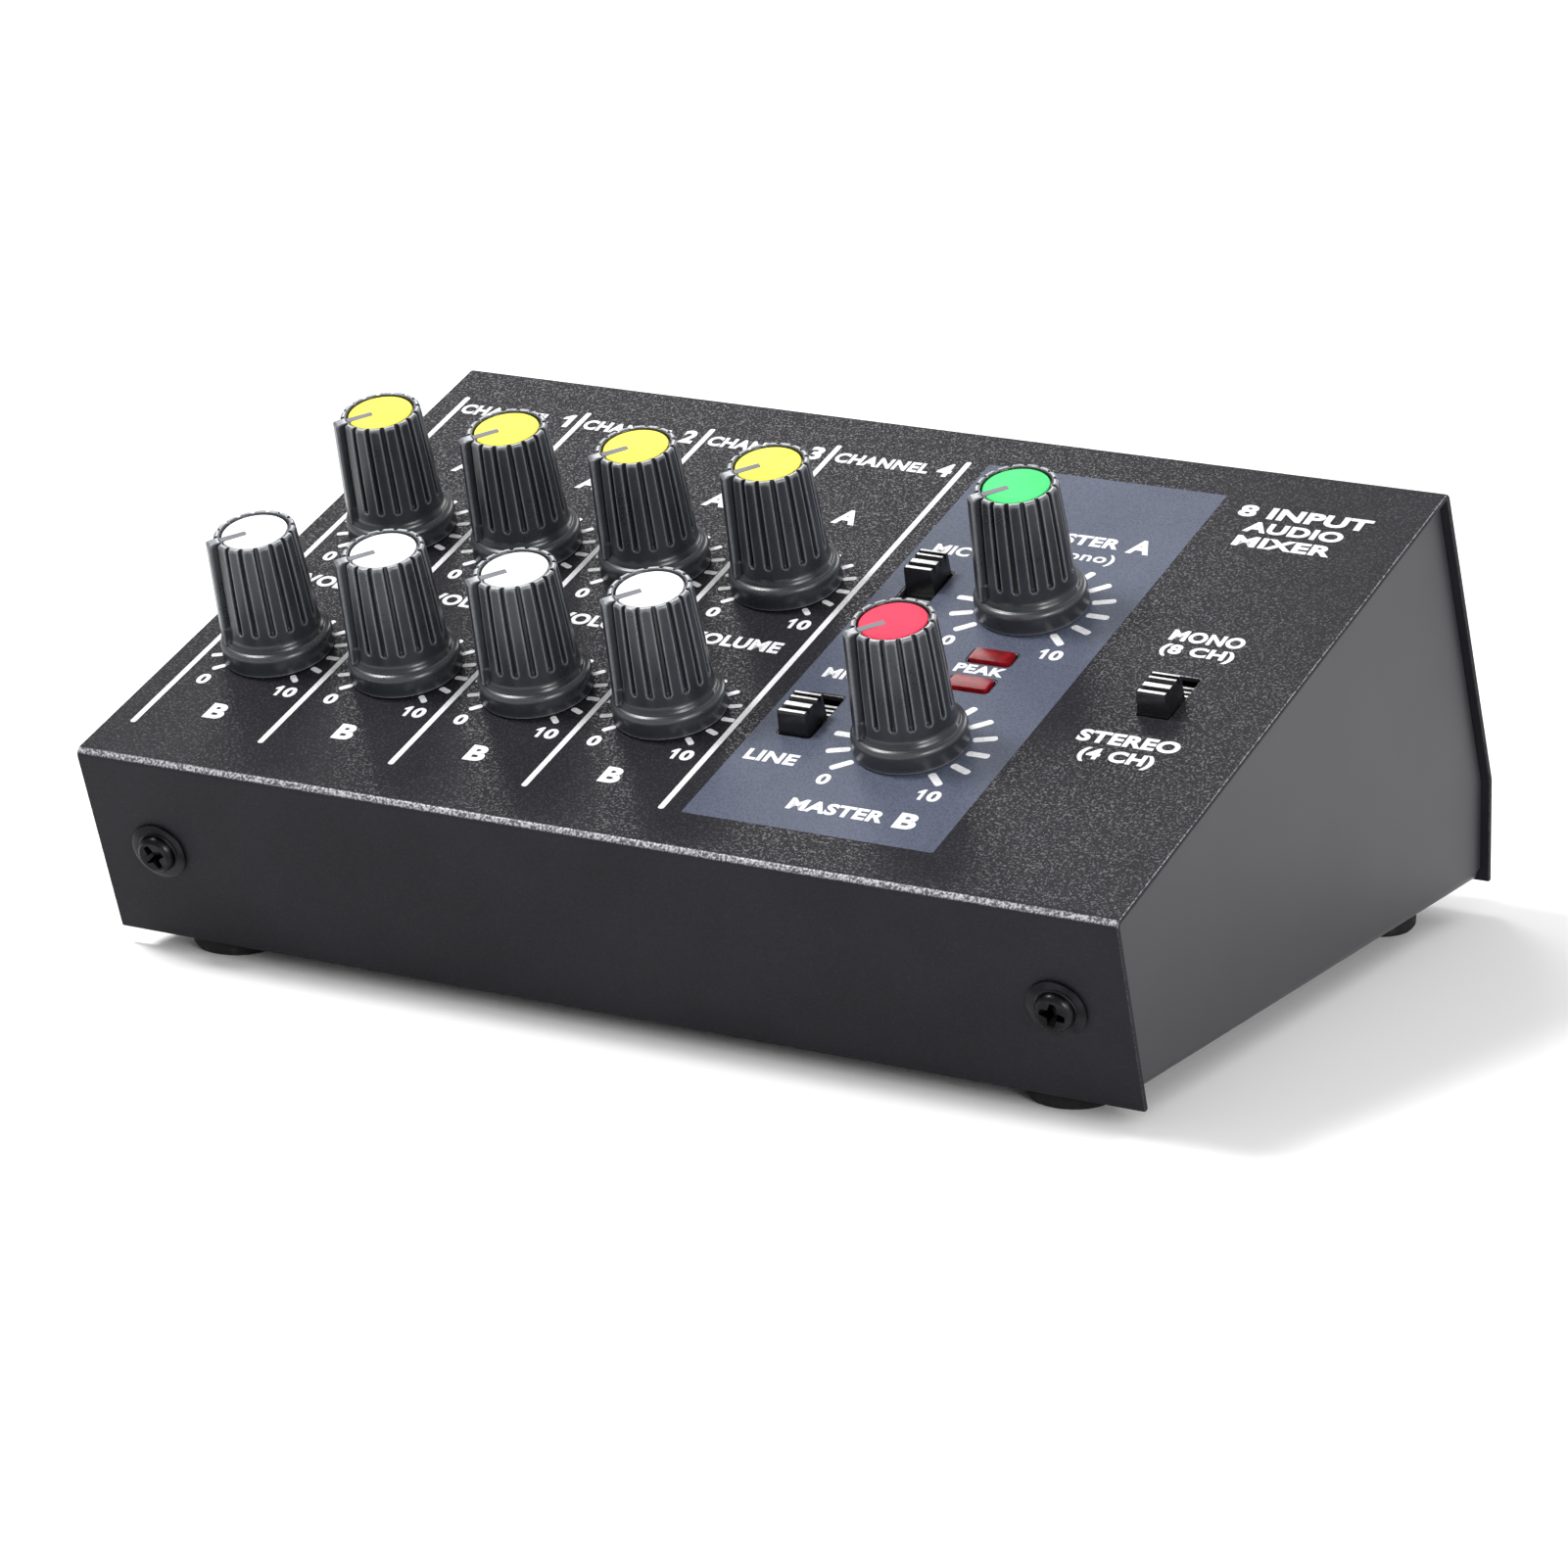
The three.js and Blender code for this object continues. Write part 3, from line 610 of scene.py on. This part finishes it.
def tray():
    half = WIDTH / 2 - SIDE_INSET
    bm = bmesh.new()
    front = meet(*INNER[0], TRAY_FLOOR, 0)
    rear = meet(*INNER[3], TRAY_FLOOR, 0)
    front_reach = tangent(180 - FRONT_TURN)
    rear_reach = tangent(180 + SKIRT_TURN)
    y0 = front.y + front_reach
    y1 = rear.y - rear_reach
    floor = TRAY_FLOOR.z
    low = floor + BEND
    side = [
        Vector((0, y0, low)),
        meet(*INNER[0], Vector((0, 0, low + 0.6)), 0),
        meet(*INNER[0], *INNER[1]),
        meet(*INNER[1], *INNER[2]),
        meet(*INNER[2], *INNER[3]),
        meet(*INNER[3], Vector((0, 0, low + 0.6)), 0),
        Vector((0, y1, low)),
    ]
    bottom = [bm.verts.new((x, y, floor)) for x, y in
              ((-half + BEND, y0), (half - BEND, y0), (half - BEND, y1), (-half + BEND, y1))]
    bm.faces.new(bottom)
    for hand in (1, -1):
        bm.faces.new([bm.verts.new((hand * half, p.y, p.z)) for p in side])
        verts = [bm.verts.new((hand * half, y, low)) for y in (y0, y1)]
        bmesh.ops.spin(bm, geom=[*verts, bm.edges.new(verts)], cent=(hand * (half - BEND), 0, low),
                       axis=(0, 1, 0), dvec=(0, 0, 0), angle=hand * math.pi / 2, steps=8,
                       use_merge=False, use_duplicate=False)
    flanges = [
        (y0, -math.radians(180 - FRONT_TURN), FRONT_FLANGE, FRONT_TURN),
        (y1, math.radians(180 + SKIRT_TURN), REAR_FLANGE, 180 + SKIRT_TURN),
    ]
    for y, turn, length, heading in flanges:
        verts = [bm.verts.new((x, y, floor)) for x in (-half + BEND, half - BEND)]
        made = bmesh.ops.spin(bm, geom=[*verts, bm.edges.new(verts)], cent=(0, y, low), axis=X_AXIS,
                              dvec=(0, 0, 0), angle=turn, steps=8, use_merge=False, use_duplicate=False)
        last = [item for item in made["geom_last"] if isinstance(item, bmesh.types.BMEdge)]
        grown = bmesh.ops.extrude_edge_only(bm, edges=last)["geom"]
        grown = [item for item in grown if isinstance(item, bmesh.types.BMVert)]
        bmesh.ops.translate(bm, verts=grown, vec=along(Vector(), length - 2, heading))
    bmesh.ops.remove_doubles(bm, verts=bm.verts, dist=1e-3)
    bmesh.ops.recalc_face_normals(bm, faces=bm.faces)
    lowest = min(bm.faces, key=lambda face: face.calc_center_median().z)
    if lowest.normal.z > 0:
        bmesh.ops.reverse_faces(bm, faces=bm.faces)
    return bm


SIDES = [Matrix.Rotation(math.pi / 2, 4, "Y"), Matrix.Rotation(-math.pi / 2, 4, "Y")]
UNDER = Matrix.Rotation(math.pi, 4, "X")
base_tray = make("bent_tray", tray(), ROW, "tray_paint", "case", ["base_tray"])
finish_sheet(base_tray, 0.25, [*SIDES, UNDER, FRONT, SKIRT])


# ---- feet and screws ----

def foot():
    profile = [(0, 0.5), (3.6, 0.5), (4.0, 0.1), (4.3, 0), (6.0, 0), (6.25, 0.12), (6.6, 0.5), (6.95, 1.0),
               (7.0, 1.3), (7.0, 4.6), (6.9, 5.2), (6.6, 5.4), (0, 5.4)]
    return turned(bmesh.new(), profile, 48)


for corner in ("front_left", "front_right", "rear_left", "rear_right"):
    low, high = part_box(f"foot_{corner}")
    middle = (low + high) / 2 / MM
    spot = Matrix.Translation((middle.x, middle.y, low.z / MM))
    make(f"rubber_foot_{corner}", foot(), spot, "rubber", "case", [f"foot_{corner}"])


def screw():
    """A pan head on a flange, with a cross recess whose walls lean in."""
    bm = bmesh.new()
    arm, half, root = 2.15, 0.62, 0.78
    cross = []
    for k in range(4):
        a = k * math.pi / 2
        corner = ((half * 1.25, root), (half * 0.85, arm), (-half * 0.85, arm), (-half * 1.25, root))
        for x, y in corner:
            cross.append((x * math.cos(a) - y * math.sin(a), x * math.sin(a) + y * math.cos(a)))
    crown = ring(0, 0, 2.55, 40)
    filled(bm, crown, [cross], 2.3)
    rim = [e for e in bm.edges if len(e.link_faces) == 1]
    wall = [e for e in rim if all(v.co.xy.length < 2.4 for v in e.verts)]
    grown = bmesh.ops.extrude_edge_only(bm, edges=wall)["geom"]
    verts = [item for item in grown if isinstance(item, bmesh.types.BMVert)]
    bmesh.ops.scale(bm, verts=verts, vec=(0.5, 0.5, 1))
    bmesh.ops.translate(bm, verts=verts, vec=(0, 0, -1.5))
    bmesh.ops.contextual_create(bm, geom=[item for item in grown if isinstance(item, bmesh.types.BMEdge)])
    skin = bmesh.new()
    profile = [(2.55, 2.3), (2.85, 2.14), (3.1, 1.85), (3.27, 1.45), (3.35, 1.05), (3.35, 0.9), (3.6, 0.74),
               (4.75, 0.7), (4.95, 0.6), (5.0, 0.45), (4.95, 0.3), (1.45, 0.3), (1.45, -5.6), (1.0, -6),
               (0, -6)]
    turned(skin, profile, 40)
    whole = joined((bm, Matrix.Identity(4)), (skin, Matrix.Identity(4)))
    return settle(whole)


for side, u in (("left", SCREW_INSET), ("right", WIDTH - SCREW_INSET)):
    angle = math.radians(-12 if side == "right" else 27)
    make(f"cross_screw_front_{side}", screw(), at(FRONT, u, FRONT_SCREW_V, angle), "screw_steel", "case",
         [f"front_screw_{side}"], corner=28)
    make(f"cross_screw_rear_{side}", screw(), at(SKIRT, u, REAR_SCREW_V, angle + 0.6), "screw_steel", "case",
         [f"rear_screw_{side}"], corner=28)


# ---- control knobs ----

FLUTES = 16
FLUTE_PITCH = 2 * math.pi / FLUTES
FLUTE_DEPTH = 0.8
FLUTE_END = 7.25
BODY_TOP = 6.7
RIB_FOOT = 8.7
RIB_TOP = 8.0
LAND_HALF = 1.375  # half of one groove and land, along the arc
LAND_STEPS = (0, 0.2, 0.31, 0.4, 0.5, 0.8, 1.375, 1.95, 2.25, 2.35, 2.44, 2.55)
KNOB_PROFILE = [
    (0, 13.3), (3.3, 13.3), (3.3, 3.7), (6.5, 3.7), (6.5, 0.3), (8.95, 0.3), (9.15, 0.42), (9.2, 0.7),
    (9.2, 2.0), (9.2, 2.9), (9.16, 3.25), (9.04, 3.55), (8.84, 3.8), (8.58, 3.96), (8.32, 4.02), (8.2, 4.1),
    (8.12, 4.3), (8.04, 4.45), (7.94, 4.58), (7.8, 4.75), (7.66, 5.0), (7.6, 5.4), (7.56, 6.0),
    (7.53, 6.6), (7.52, 6.8), (7.51, 6.9),
    (7.5, 7.0), (7.5, 7.1), (7.49, 7.25), (7.48, 7.5), (7.4, 9.0), (7.3, 12.0), (7.1, 16.0), (6.87, 20.0),
    (6.74, 21.9), (6.72, 22.2), (6.66, 22.42), (6.52, 22.56), (6.34, 22.6), (6.02, 22.6), (5.84, 22.52),
    (5.72, 22.3), (5.66, 21.6), (0, 21.6),
]


def smooth_step(value, low, high):
    share = min(max((value - low) / (high - low), 0.0), 1.0)
    return share * share * (3 - 2 * share)


def knob():
    """A fluted knob: 16 grooves, open at the rim, and a raised pointer rib between two of them."""
    sides = FLUTES * len(LAND_STEPS)
    bm = turned(bmesh.new(), KNOB_PROFILE, sides)
    for vert in bm.verts:
        r = vert.co.xy.length
        z = vert.co.z
        if r < 5.7 or z < 4.15:
            continue
        step = round(math.atan2(vert.co.y, vert.co.x) / (2 * math.pi / sides) + len(LAND_STEPS) / 2)
        flute, part = divmod(step, len(LAND_STEPS))
        arc = LAND_STEPS[part]
        land = 2 * LAND_HALF
        a = (flute - 0.5) * FLUTE_PITCH + arc / land * FLUTE_PITCH
        away = min(arc, land - arc)
        if z > 6.2:
            end = max(FLUTE_END - z, 0.0)
            groove = 1 - smooth_step(math.hypot(away, end), 0.2, 0.5)
        else:
            groove = 0.0
        on_rib = (flute % FLUTES) == 0
        share = min(max((r - 5.75) / (BODY_TOP - 5.75), 0.0), 1.0)
        body = r - FLUTE_DEPTH * groove * share
        if on_rib:
            outer = RIB_FOOT + (RIB_TOP - RIB_FOOT) * (z - 4.2) / 18.4
            raised = smooth_step(away, 0.22, 0.5)
            edge = min(max((r - 6.3) / (BODY_TOP - 6.3), 0.0), 1.0)
            beyond = max(r, BODY_TOP)
            body += (outer - beyond) * raised * edge
        vert.co.x = body * math.cos(a)
        vert.co.y = body * math.sin(a)
    bmesh.ops.recalc_face_normals(bm, faces=bm.faces)
    return bm


def cap():
    profile = [(0, 21.7), (5.2, 21.7), (5.38, 21.85), (5.4, 22.1), (5.36, 22.3), (5.24, 22.42), (5.05, 22.46),
               (3.5, 22.5), (1.8, 22.53), (0, 22.54)]
    return turned(bmesh.new(), profile, 64)


def cap_bar():
    """The pointer line across the cap, from near its middle to its edge."""
    bm = bmesh.new()
    plate(bm, rounded(3.55, 0, 4.4, 1.3, 0.2, 3), 21.9, 22.58)
    bmesh.ops.recalc_face_normals(bm, faces=bm.faces)
    return soften(bm, 0.05, 1, 60)


for name, (u, v, colour) in CONTROLS.items():
    spot = at(PANEL, u, v, POINTER)
    body = f"{name}_control"
    make(f"fluted_knob_{name}", knob(), spot, "knob_plastic", body, [f"{name}_knob"], corner=48)
    make(f"disc_cap_{name}", cap(), spot, f"cap_{colour}", body, [f"{name}_cap"])
    make(f"cap_bar_{name}", cap_bar(), spot, "knob_plastic", body, material=BAR_PLASTIC)


# ---- slide switch levers, each with the ribbed dust plate that moves with it ----

def lever():
    side = [(-3.25, -1.7), (-3.2, 0.0), (-3.15, 3.6)]
    for middle, width in ((-2.6, 1.0), (-0.6, 1.4), (1.45, 0.8), (2.75, 0.75)):
        low = middle - width / 2
        high = middle + width / 2
        side += [(low, 3.7), (low + 0.08, 4.05), (high - 0.08, 4.05), (high, 3.7)]
        if middle < 2:
            side.append((middle + width / 2 + 0.24, 2.95))
    side += [(3.15, 3.6), (3.2, 0.0), (3.25, -1.7)]
    block = solid_bar(side, -2.55, 2.55)
    for vert in block.verts:
        vert.co.x *= 1 - 0.07 * max(vert.co.z, 0) / 4.1
    soften(block, 0.07, 2, 40)
    ribs = [(-8.7, -2.6)]
    for k in range(15):
        middle = -8.1 + k * 1.157
        ribs += [(middle - 0.3, -1.75), (middle - 0.24, -1.62), (middle + 0.24, -1.62), (middle + 0.3, -1.75)]
        if k < 14:
            ribs.append((middle + 0.5785, -2.15))
    ribs += [(8.7, -2.6)]
    plate_part = solid_bar(ribs, -2.55, 2.55)
    return joined((block, Matrix.Identity(4)), (plate_part, Matrix.Identity(4)))


for name, (u, v, end) in SWITCHES.items():
    make(f"ridged_lever_{name}", lever(), at(PANEL, u, v + end * TRAVEL / 2), "lever_plastic",
         f"{name}_slider", [f"{name}_switch_lever"])


# ---- peak lamps ----

def lamp():
    bm = bmesh.new()
    plate(bm, rounded(0, 0, 6.9, 3.3, 0.45, 4), -6.0, 0.5)
    bmesh.ops.recalc_face_normals(bm, faces=bm.faces)
    return soften(bm, 0.38, 4, 60, only=lambda e: min(v.co.z for v in e.verts) > 0.4)


for name, (u, v) in LAMPS.items():
    make(f"lamp_lens_{name}", lamp(), at(PANEL, u, v), "lamp_red", "case", [f"peak_lamp_{name}"], corner=60)


# ---- jacks and power inlet ----

def jack_housing():
    bm = bmesh.new()
    middle = sum(JACK_ROWS) / 2
    bores = [ring(0, s, 3.95, 32) for s in JACK_ROWS]
    plate(bm, rounded(0, middle, 15.8, 40, 0.6, 3), -25.3, -1.3, bores)
    bmesh.ops.recalc_face_normals(bm, faces=bm.faces)
    return bm


def jack_nose():
    """A threaded sleeve, closed at its foot, with a chamfered mouth."""
    profile = [(0, -20.0), (3.3, -20.0), (3.3, 4.1), (3.5, 4.4), (3.8, 4.6), (4.1, 4.6), (4.3, 4.45)]
    for k in range(6):
        z = 4.2 - k * 0.45
        profile += [(4.5, z), (4.5, z - 0.1), (4.22, z - 0.22), (4.22, z - 0.32)]
    profile += [(4.5, 1.4), (4.5, -1.25), (3.9, -1.25), (3.9, -20.6), (0, -20.6)]
    return turned(bmesh.new(), profile, 48)


def nut():
    bm = bmesh.new()
    plate(bm, ring(0, 0, 6.75, 6), 0.35, 2.3, [ring(0, 0, 4.52, 48)])
    bmesh.ops.recalc_face_normals(bm, faces=bm.faces)
    return soften(bm, 0.3, 2, 50, only=lambda e: all(v.co.xy.length > 6 for v in e.verts))


def washer():
    bm = bmesh.new()
    plate(bm, ring(0, 0, 6.6, 48), 0.0, 0.34, [ring(0, 0, 4.6, 48)])
    bmesh.ops.recalc_face_normals(bm, faces=bm.faces)
    return bm


for name, u in JACKS.items():
    spots = [Matrix.Translation((0, s, 0)) for s in JACK_ROWS]
    pair = joined((jack_housing(), ROW), *[(jack_nose(), spot) for spot in spots])
    make(f"jack_pair_{name}", pair, at(REAR, u, 0), "jack_plastic", "case", [f"{name}_jacks"])
    nuts = joined(*[(nut(), spot @ Matrix.Rotation(0.3 + spot.translation.y, 4, "Z")) for spot in spots],
                  *[(washer(), spot) for spot in spots])
    make(f"jack_nuts_{name}", nuts, at(REAR, u, 0), "shaft_metal", "case")


def inlet():
    profile = [(0, -13), (5.4, -13), (5.4, 0.3), (6.6, 0.3), (6.8, 0.5), (6.8, 1.4), (6.5, 1.75), (6.1, 1.8),
               (4.4, 1.8), (4.1, 1.6), (3.9, 1.55), (3.4, 1.55), (3.2, 1.35), (3.2, -9), (0, -9)]
    return turned(bmesh.new(), profile, 48)


def inlet_pin():
    profile = [(0, -9.2), (1.0, -9.2), (1.0, -1.0), (0.8, -0.5), (0.4, -0.3), (0, -0.28)]
    return turned(bmesh.new(), profile, 24)


make("inlet_barrel", inlet(), at(REAR, *INLET), "jack_plastic", "case", ["power_inlet"])
make("inlet_contact_pin", inlet_pin(), at(REAR, *INLET), "shaft_metal", "case")


# ---- print on the panel ----

def lettering(bm, words, u0, u1, v0, v1, weight=0.042, z=0.05):
    """Words fitted in a rectangle on a face, as a thin layer of ink."""
    curve = bpy.data.curves.new("words", "FONT")
    curve.body = words
    curve.offset = weight
    curve.extrude = 0.02
    curve.resolution_u = 5
    curve.space_character = 1.06
    words_object = bpy.data.objects.new("words", curve)
    bpy.context.scene.collection.objects.link(words_object)
    bpy.context.view_layer.update()
    solid = words_object.evaluated_get(bpy.context.evaluated_depsgraph_get())
    mesh = bpy.data.meshes.new_from_object(solid)
    bpy.data.objects.remove(words_object)
    bpy.data.curves.remove(curve)
    lows = [min(v.co[k] for v in mesh.vertices) for k in range(3)]
    highs = [max(v.co[k] for v in mesh.vertices) for k in range(3)]
    spans = [high - low for low, high in zip(lows, highs)]
    fit = Matrix.Translation((u0, v0, z - 0.08)) @ Matrix.Diagonal(
        ((u1 - u0) / spans[0], (v1 - v0) / spans[1], 0.08 / spans[2], 1))
    mesh.transform(fit @ Matrix.Translation([-low for low in lows]))
    bm.from_mesh(mesh)
    bpy.data.meshes.remove(mesh)


def centred(bm, words, u, v, width, height, weight=0.042):
    lettering(bm, words, u - width / 2, u + width / 2, v - height / 2, v + height / 2, weight)


def numeral_one(bm, u0, u1, v0, v1, z=0.05):
    """A figure one with a flag, because the plain bar of the built-in lettering reads as a stroke."""
    stem = (u1 - u0) * 0.5
    rise = v1 - v0
    outline = [(u1 - stem, v0), (u1, v0), (u1, v1), (u1 - stem * 0.72, v1), (u0, v1 - rise * 0.26),
               (u0, v1 - rise * 0.4), (u1 - stem, v1 - rise * 0.36)]
    part = bmesh.new()
    plate(part, outline, z - 0.08, z)
    bmesh.ops.recalc_face_normals(part, faces=part.faces)
    join_in(bm, part)


def number(bm, words, u0, u1, v0, v1):
    if words == "1":
        numeral_one(bm, u0 + (u1 - u0) * 0.25, u1, v0, v1)
    elif words == "10":
        third = (u1 - u0) / 4.2
        numeral_one(bm, u0, u0 + third * 1.25, v0, v1)
        lettering(bm, "0", u0 + third * 1.9, u1, v0, v1)
    else:
        lettering(bm, words, u0, u1, v0, v1)


def panel_words():
    bm = bmesh.new()
    for k, u in enumerate(CHANNELS):
        left = u - 11.25
        lettering(bm, "CHANNEL", left, left + 17.6, 113.6, 116.8)
        number(bm, str(k + 1), left + 19.1, left + 21.7, 113.4, 117.6)
        centred(bm, "A", u, 97.4, 4.3, 4.5)
        centred(bm, "VOLUME", u, 57.0, 17.0, 3.3)
        centred(bm, "B", u, 16.3, 3.4, 4.3)
    lettering(bm, "MASTER", 122.2, 138.6, 98.5, 101.6)
    lettering(bm, "A", 140.2, 144.3, 98.1, 102.3)
    centred(bm, "(Mono)", 133.1, 95.0, 13.3, 3.5, 0.02)
    lettering(bm, "MASTER", 121.2, 137.6, 15.0, 18.1)
    lettering(bm, "B", 139.6, 143.2, 14.5, 18.7)
    centred(bm, "MIC", 112.3, 91.9, 6.6, 2.9)
    centred(bm, "MIC", 112.3, 52.5, 6.6, 2.9)
    centred(bm, "LINE", 112.4, 27.6, 8.9, 3.0)
    centred(bm, "LINE", 112.4, 66.6, 8.9, 3.0)
    centred(bm, "PEAK", 133.1, 59.2, 8.7, 2.5)
    centred(bm, "MONO", 164.5, 76.7, 12.5, 3.2)
    centred(bm, "(8 CH)", 164.5, 72.3, 12.5, 3.6)
    centred(bm, "STEREO", 164.9, 46.1, 17.0, 3.3)
    centred(bm, "(4 CH)", 164.9, 41.1, 12.5, 4.0)
    centred(bm, "8 INPUT", 164.5, 115.3, 23.0, 3.6)
    centred(bm, "AUDIO", 164.5, 110.7, 17.0, 3.2)
    centred(bm, "MIXER", 164.5, 106.2, 17.0, 3.2)
    for u, v, row in [(*place[:2], name[-1]) for name, place in CONTROLS.items()]:
        master = v not in (ROW_A, ROW_B)
        reach = 9.0 if master else 7.8
        foot = v - (12.5 if master else 11.1)
        lettering(bm, "0", u - reach - 1.1, u - reach + 1.1, foot - 1.45, foot + 1.45)
        number(bm, "10", u + reach - 1.9, u + reach + 2.1, foot - 1.45, foot + 1.45)
    return bm


def stroke(bm, place, length, width, z0=-0.03, z1=0.05):
    """A printed line from a place along its own x."""
    part = bmesh.new()
    plate(part, rounded(length / 2, 0, length, width, width * 0.35, 2), z0, z1)
    bmesh.ops.recalc_face_normals(part, faces=part.faces)
    join_in(bm, part, place)


def panel_lines():
    bm = bmesh.new()
    for k in range(5):
        stroke(bm, at(ROW, 4.75 + k * 24.37, 9.75, math.pi / 2), 109.15, 1.0)
    for u, v, _ in CONTROLS.values():
        master = v not in (ROW_A, ROW_B)
        inner, outer, width = (9.5, 13.4, 1.3) if master else (9.1, 11.4, 1.0)
        for k in range(13):
            angle = math.radians(-45 + 22.5 * k)
            stroke(bm, at(ROW, u, v, angle) @ Matrix.Translation((inner, 0, 0)), outer - inner, width)
    return bm


def blue_field():
    bm = bmesh.new()
    holes = [ring(u, v, 4.6, 40) for u, v, _ in CONTROLS.values() if u > 110]
    holes += [rounded(u, v, SLOT_SIZE[0] + 0.7, SLOT_SIZE[1] + 0.7, 0.8) for u, v, _ in
              SWITCHES.values() if u < 150]
    holes += [rounded(u, v, WINDOW_SIZE[0] + 0.7, WINDOW_SIZE[1] + 0.7, 1.0) for u, v in LAMPS.values()]
    plate(bm, rounded(127.5, 64.4, 43.2, 109.2, 0.3, 2), -0.03, 0.03, holes)
    bmesh.ops.recalc_face_normals(bm, faces=bm.faces)
    return bm


make("panel_blue_field", blue_field(), PANEL, "cover_paint", "case", material=BLUE_INK, smooth=False)
make("panel_lines", panel_lines(), PANEL, "cover_paint", "case", material=WHITE_INK, smooth=False)
make("panel_words", panel_words(), PANEL, "cover_paint", "case", material=WHITE_INK, smooth=False)
# Read from behind, the rear face's words run the other way along x and up the face.
REAR_READ = REAR @ Matrix.Translation((WIDTH, 0, 0)) @ Matrix.Rotation(math.pi, 4, "Z")


def rear_words():
    """Numbers and words beside the jacks and the inlet."""
    bm = bmesh.new()
    for k, u in enumerate(CHANNELS):
        x = WIDTH - u
        number(bm, str(k + 1), x - 1.2, x + 1.2, -9.4, -5.6)
    x = WIDTH - JACKS["output"]
    lettering(bm, "OUTPUT", x - 8.4, x + 8.4, -9.0, -6.0)
    x = WIDTH - INLET[0]
    lettering(bm, "DC IN", x - 6.4, x + 6.4, -29.6, -26.6)
    for s, word in zip(JACK_ROWS, "AB"):
        for u in JACKS.values():
            x = WIDTH - u
            lettering(bm, word, x + 8.2, x + 10.6, -s - 1.5, -s + 1.5)
    return bm


make("rear_words", rear_words(), REAR_READ, "cover_paint", "case", material=WHITE_INK, smooth=False)


# ---- CAD pieces that keep their own shape ----

KEPT = {"control_board": "board", "jack_board": "board", "ribbon_cable": "ribbon"}
KEPT |= {f"{name}_switch_body": "switch_steel" for name in SWITCHES}
KEPT |= {f"{name}_shaft": "shaft_metal" for name in CONTROLS}
for node, slot in KEPT.items():
    obj = frame["nodes"][node]
    obj.data.materials.clear()
    obj.data.materials.append(FINISHES[slot])


# ---- floor, light and camera ----

def floor():
    mesh = bpy.data.meshes.new("floor")
    bm = bmesh.new()
    bmesh.ops.create_grid(bm, x_segments=1, y_segments=1, size=6)
    bm.to_mesh(mesh)
    bm.free()
    obj = bpy.data.objects.new("floor", mesh)
    bpy.context.scene.collection.objects.link(obj)
    paper = Finish("floor_paper", Specular_IOR_Level=0.1)
    fine = paper.noise(60.0, detail=3.0)
    paper.give("Base Color", paper.mix(fine, tone(250, 250, 250), tone(252, 252, 252)))
    paper.give("Roughness", 0.9 + fine * 0.05)
    mesh.materials.append(paper.material)


def soft_light(name, place, target, size, power, colour=(1, 1, 1)):
    data = bpy.data.lights.new(name, "AREA")
    data.shape = "RECTANGLE"
    data.size = size[0]
    data.size_y = size[1]
    data.energy = power
    data.color = colour
    obj = bpy.data.objects.new(name, data)
    bpy.context.scene.collection.objects.link(obj)
    obj.location = place
    obj.rotation_mode = "QUATERNION"
    obj.rotation_quaternion = (Vector(target) - Vector(place)).to_track_quat("-Z", "Y")


def surroundings():
    world = bpy.data.worlds.new("studio")
    bpy.context.scene.world = world
    world.use_nodes = True
    world.node_tree.nodes["Background"].inputs["Color"].default_value = (1, 1, 1, 1)
    world.node_tree.nodes["Background"].inputs["Strength"].default_value = 0.55
    bpy.context.scene.view_settings.view_transform = "Standard"
    bpy.context.scene.view_settings.look = "None"


def camera():
    data = bpy.data.cameras.new("camera")
    data.lens = 136.03
    data.sensor_width = 36.0
    data.clip_start = 0.05
    data.clip_end = 50
    obj = bpy.data.objects.new("camera", data)
    bpy.context.scene.collection.objects.link(obj)
    forward = Vector((-0.45593, 0.85044, -0.26244)).normalized()
    right = Vector((0.87882, 0.47680, 0.01835)).normalized()
    up = right.cross(forward).normalized()
    turn = Matrix((right, up, -forward)).transposed().to_4x4()
    obj.matrix_world = Matrix.Translation(Vector((439.80, -827.70, 280.53)) * MM) @ turn
    bpy.context.scene.camera = obj


floor()
surroundings()
soft_light("key", (-0.5, -0.29, 0.95), (0, 0, 0.05), (0.26, 0.26), 9.0)
soft_light("overhead", (-0.48, 0.53, 0.80), (0, 0, 0.05), (0.32, 0.32), 2.6)
soft_light("sparkle", (0.9, -0.75, 0.36), (0, 0, 0.06), (0.16, 0.3), 5.0)
soft_light("side", (1.3, -0.55, 0.5), (0, 0, 0.04), (0.7, 0.7), 4.9)
soft_light("backdrop", (0.5, 2.6, 1.5), (0, 2.2, 0), (2.0, 1.0), 30.0)
camera()
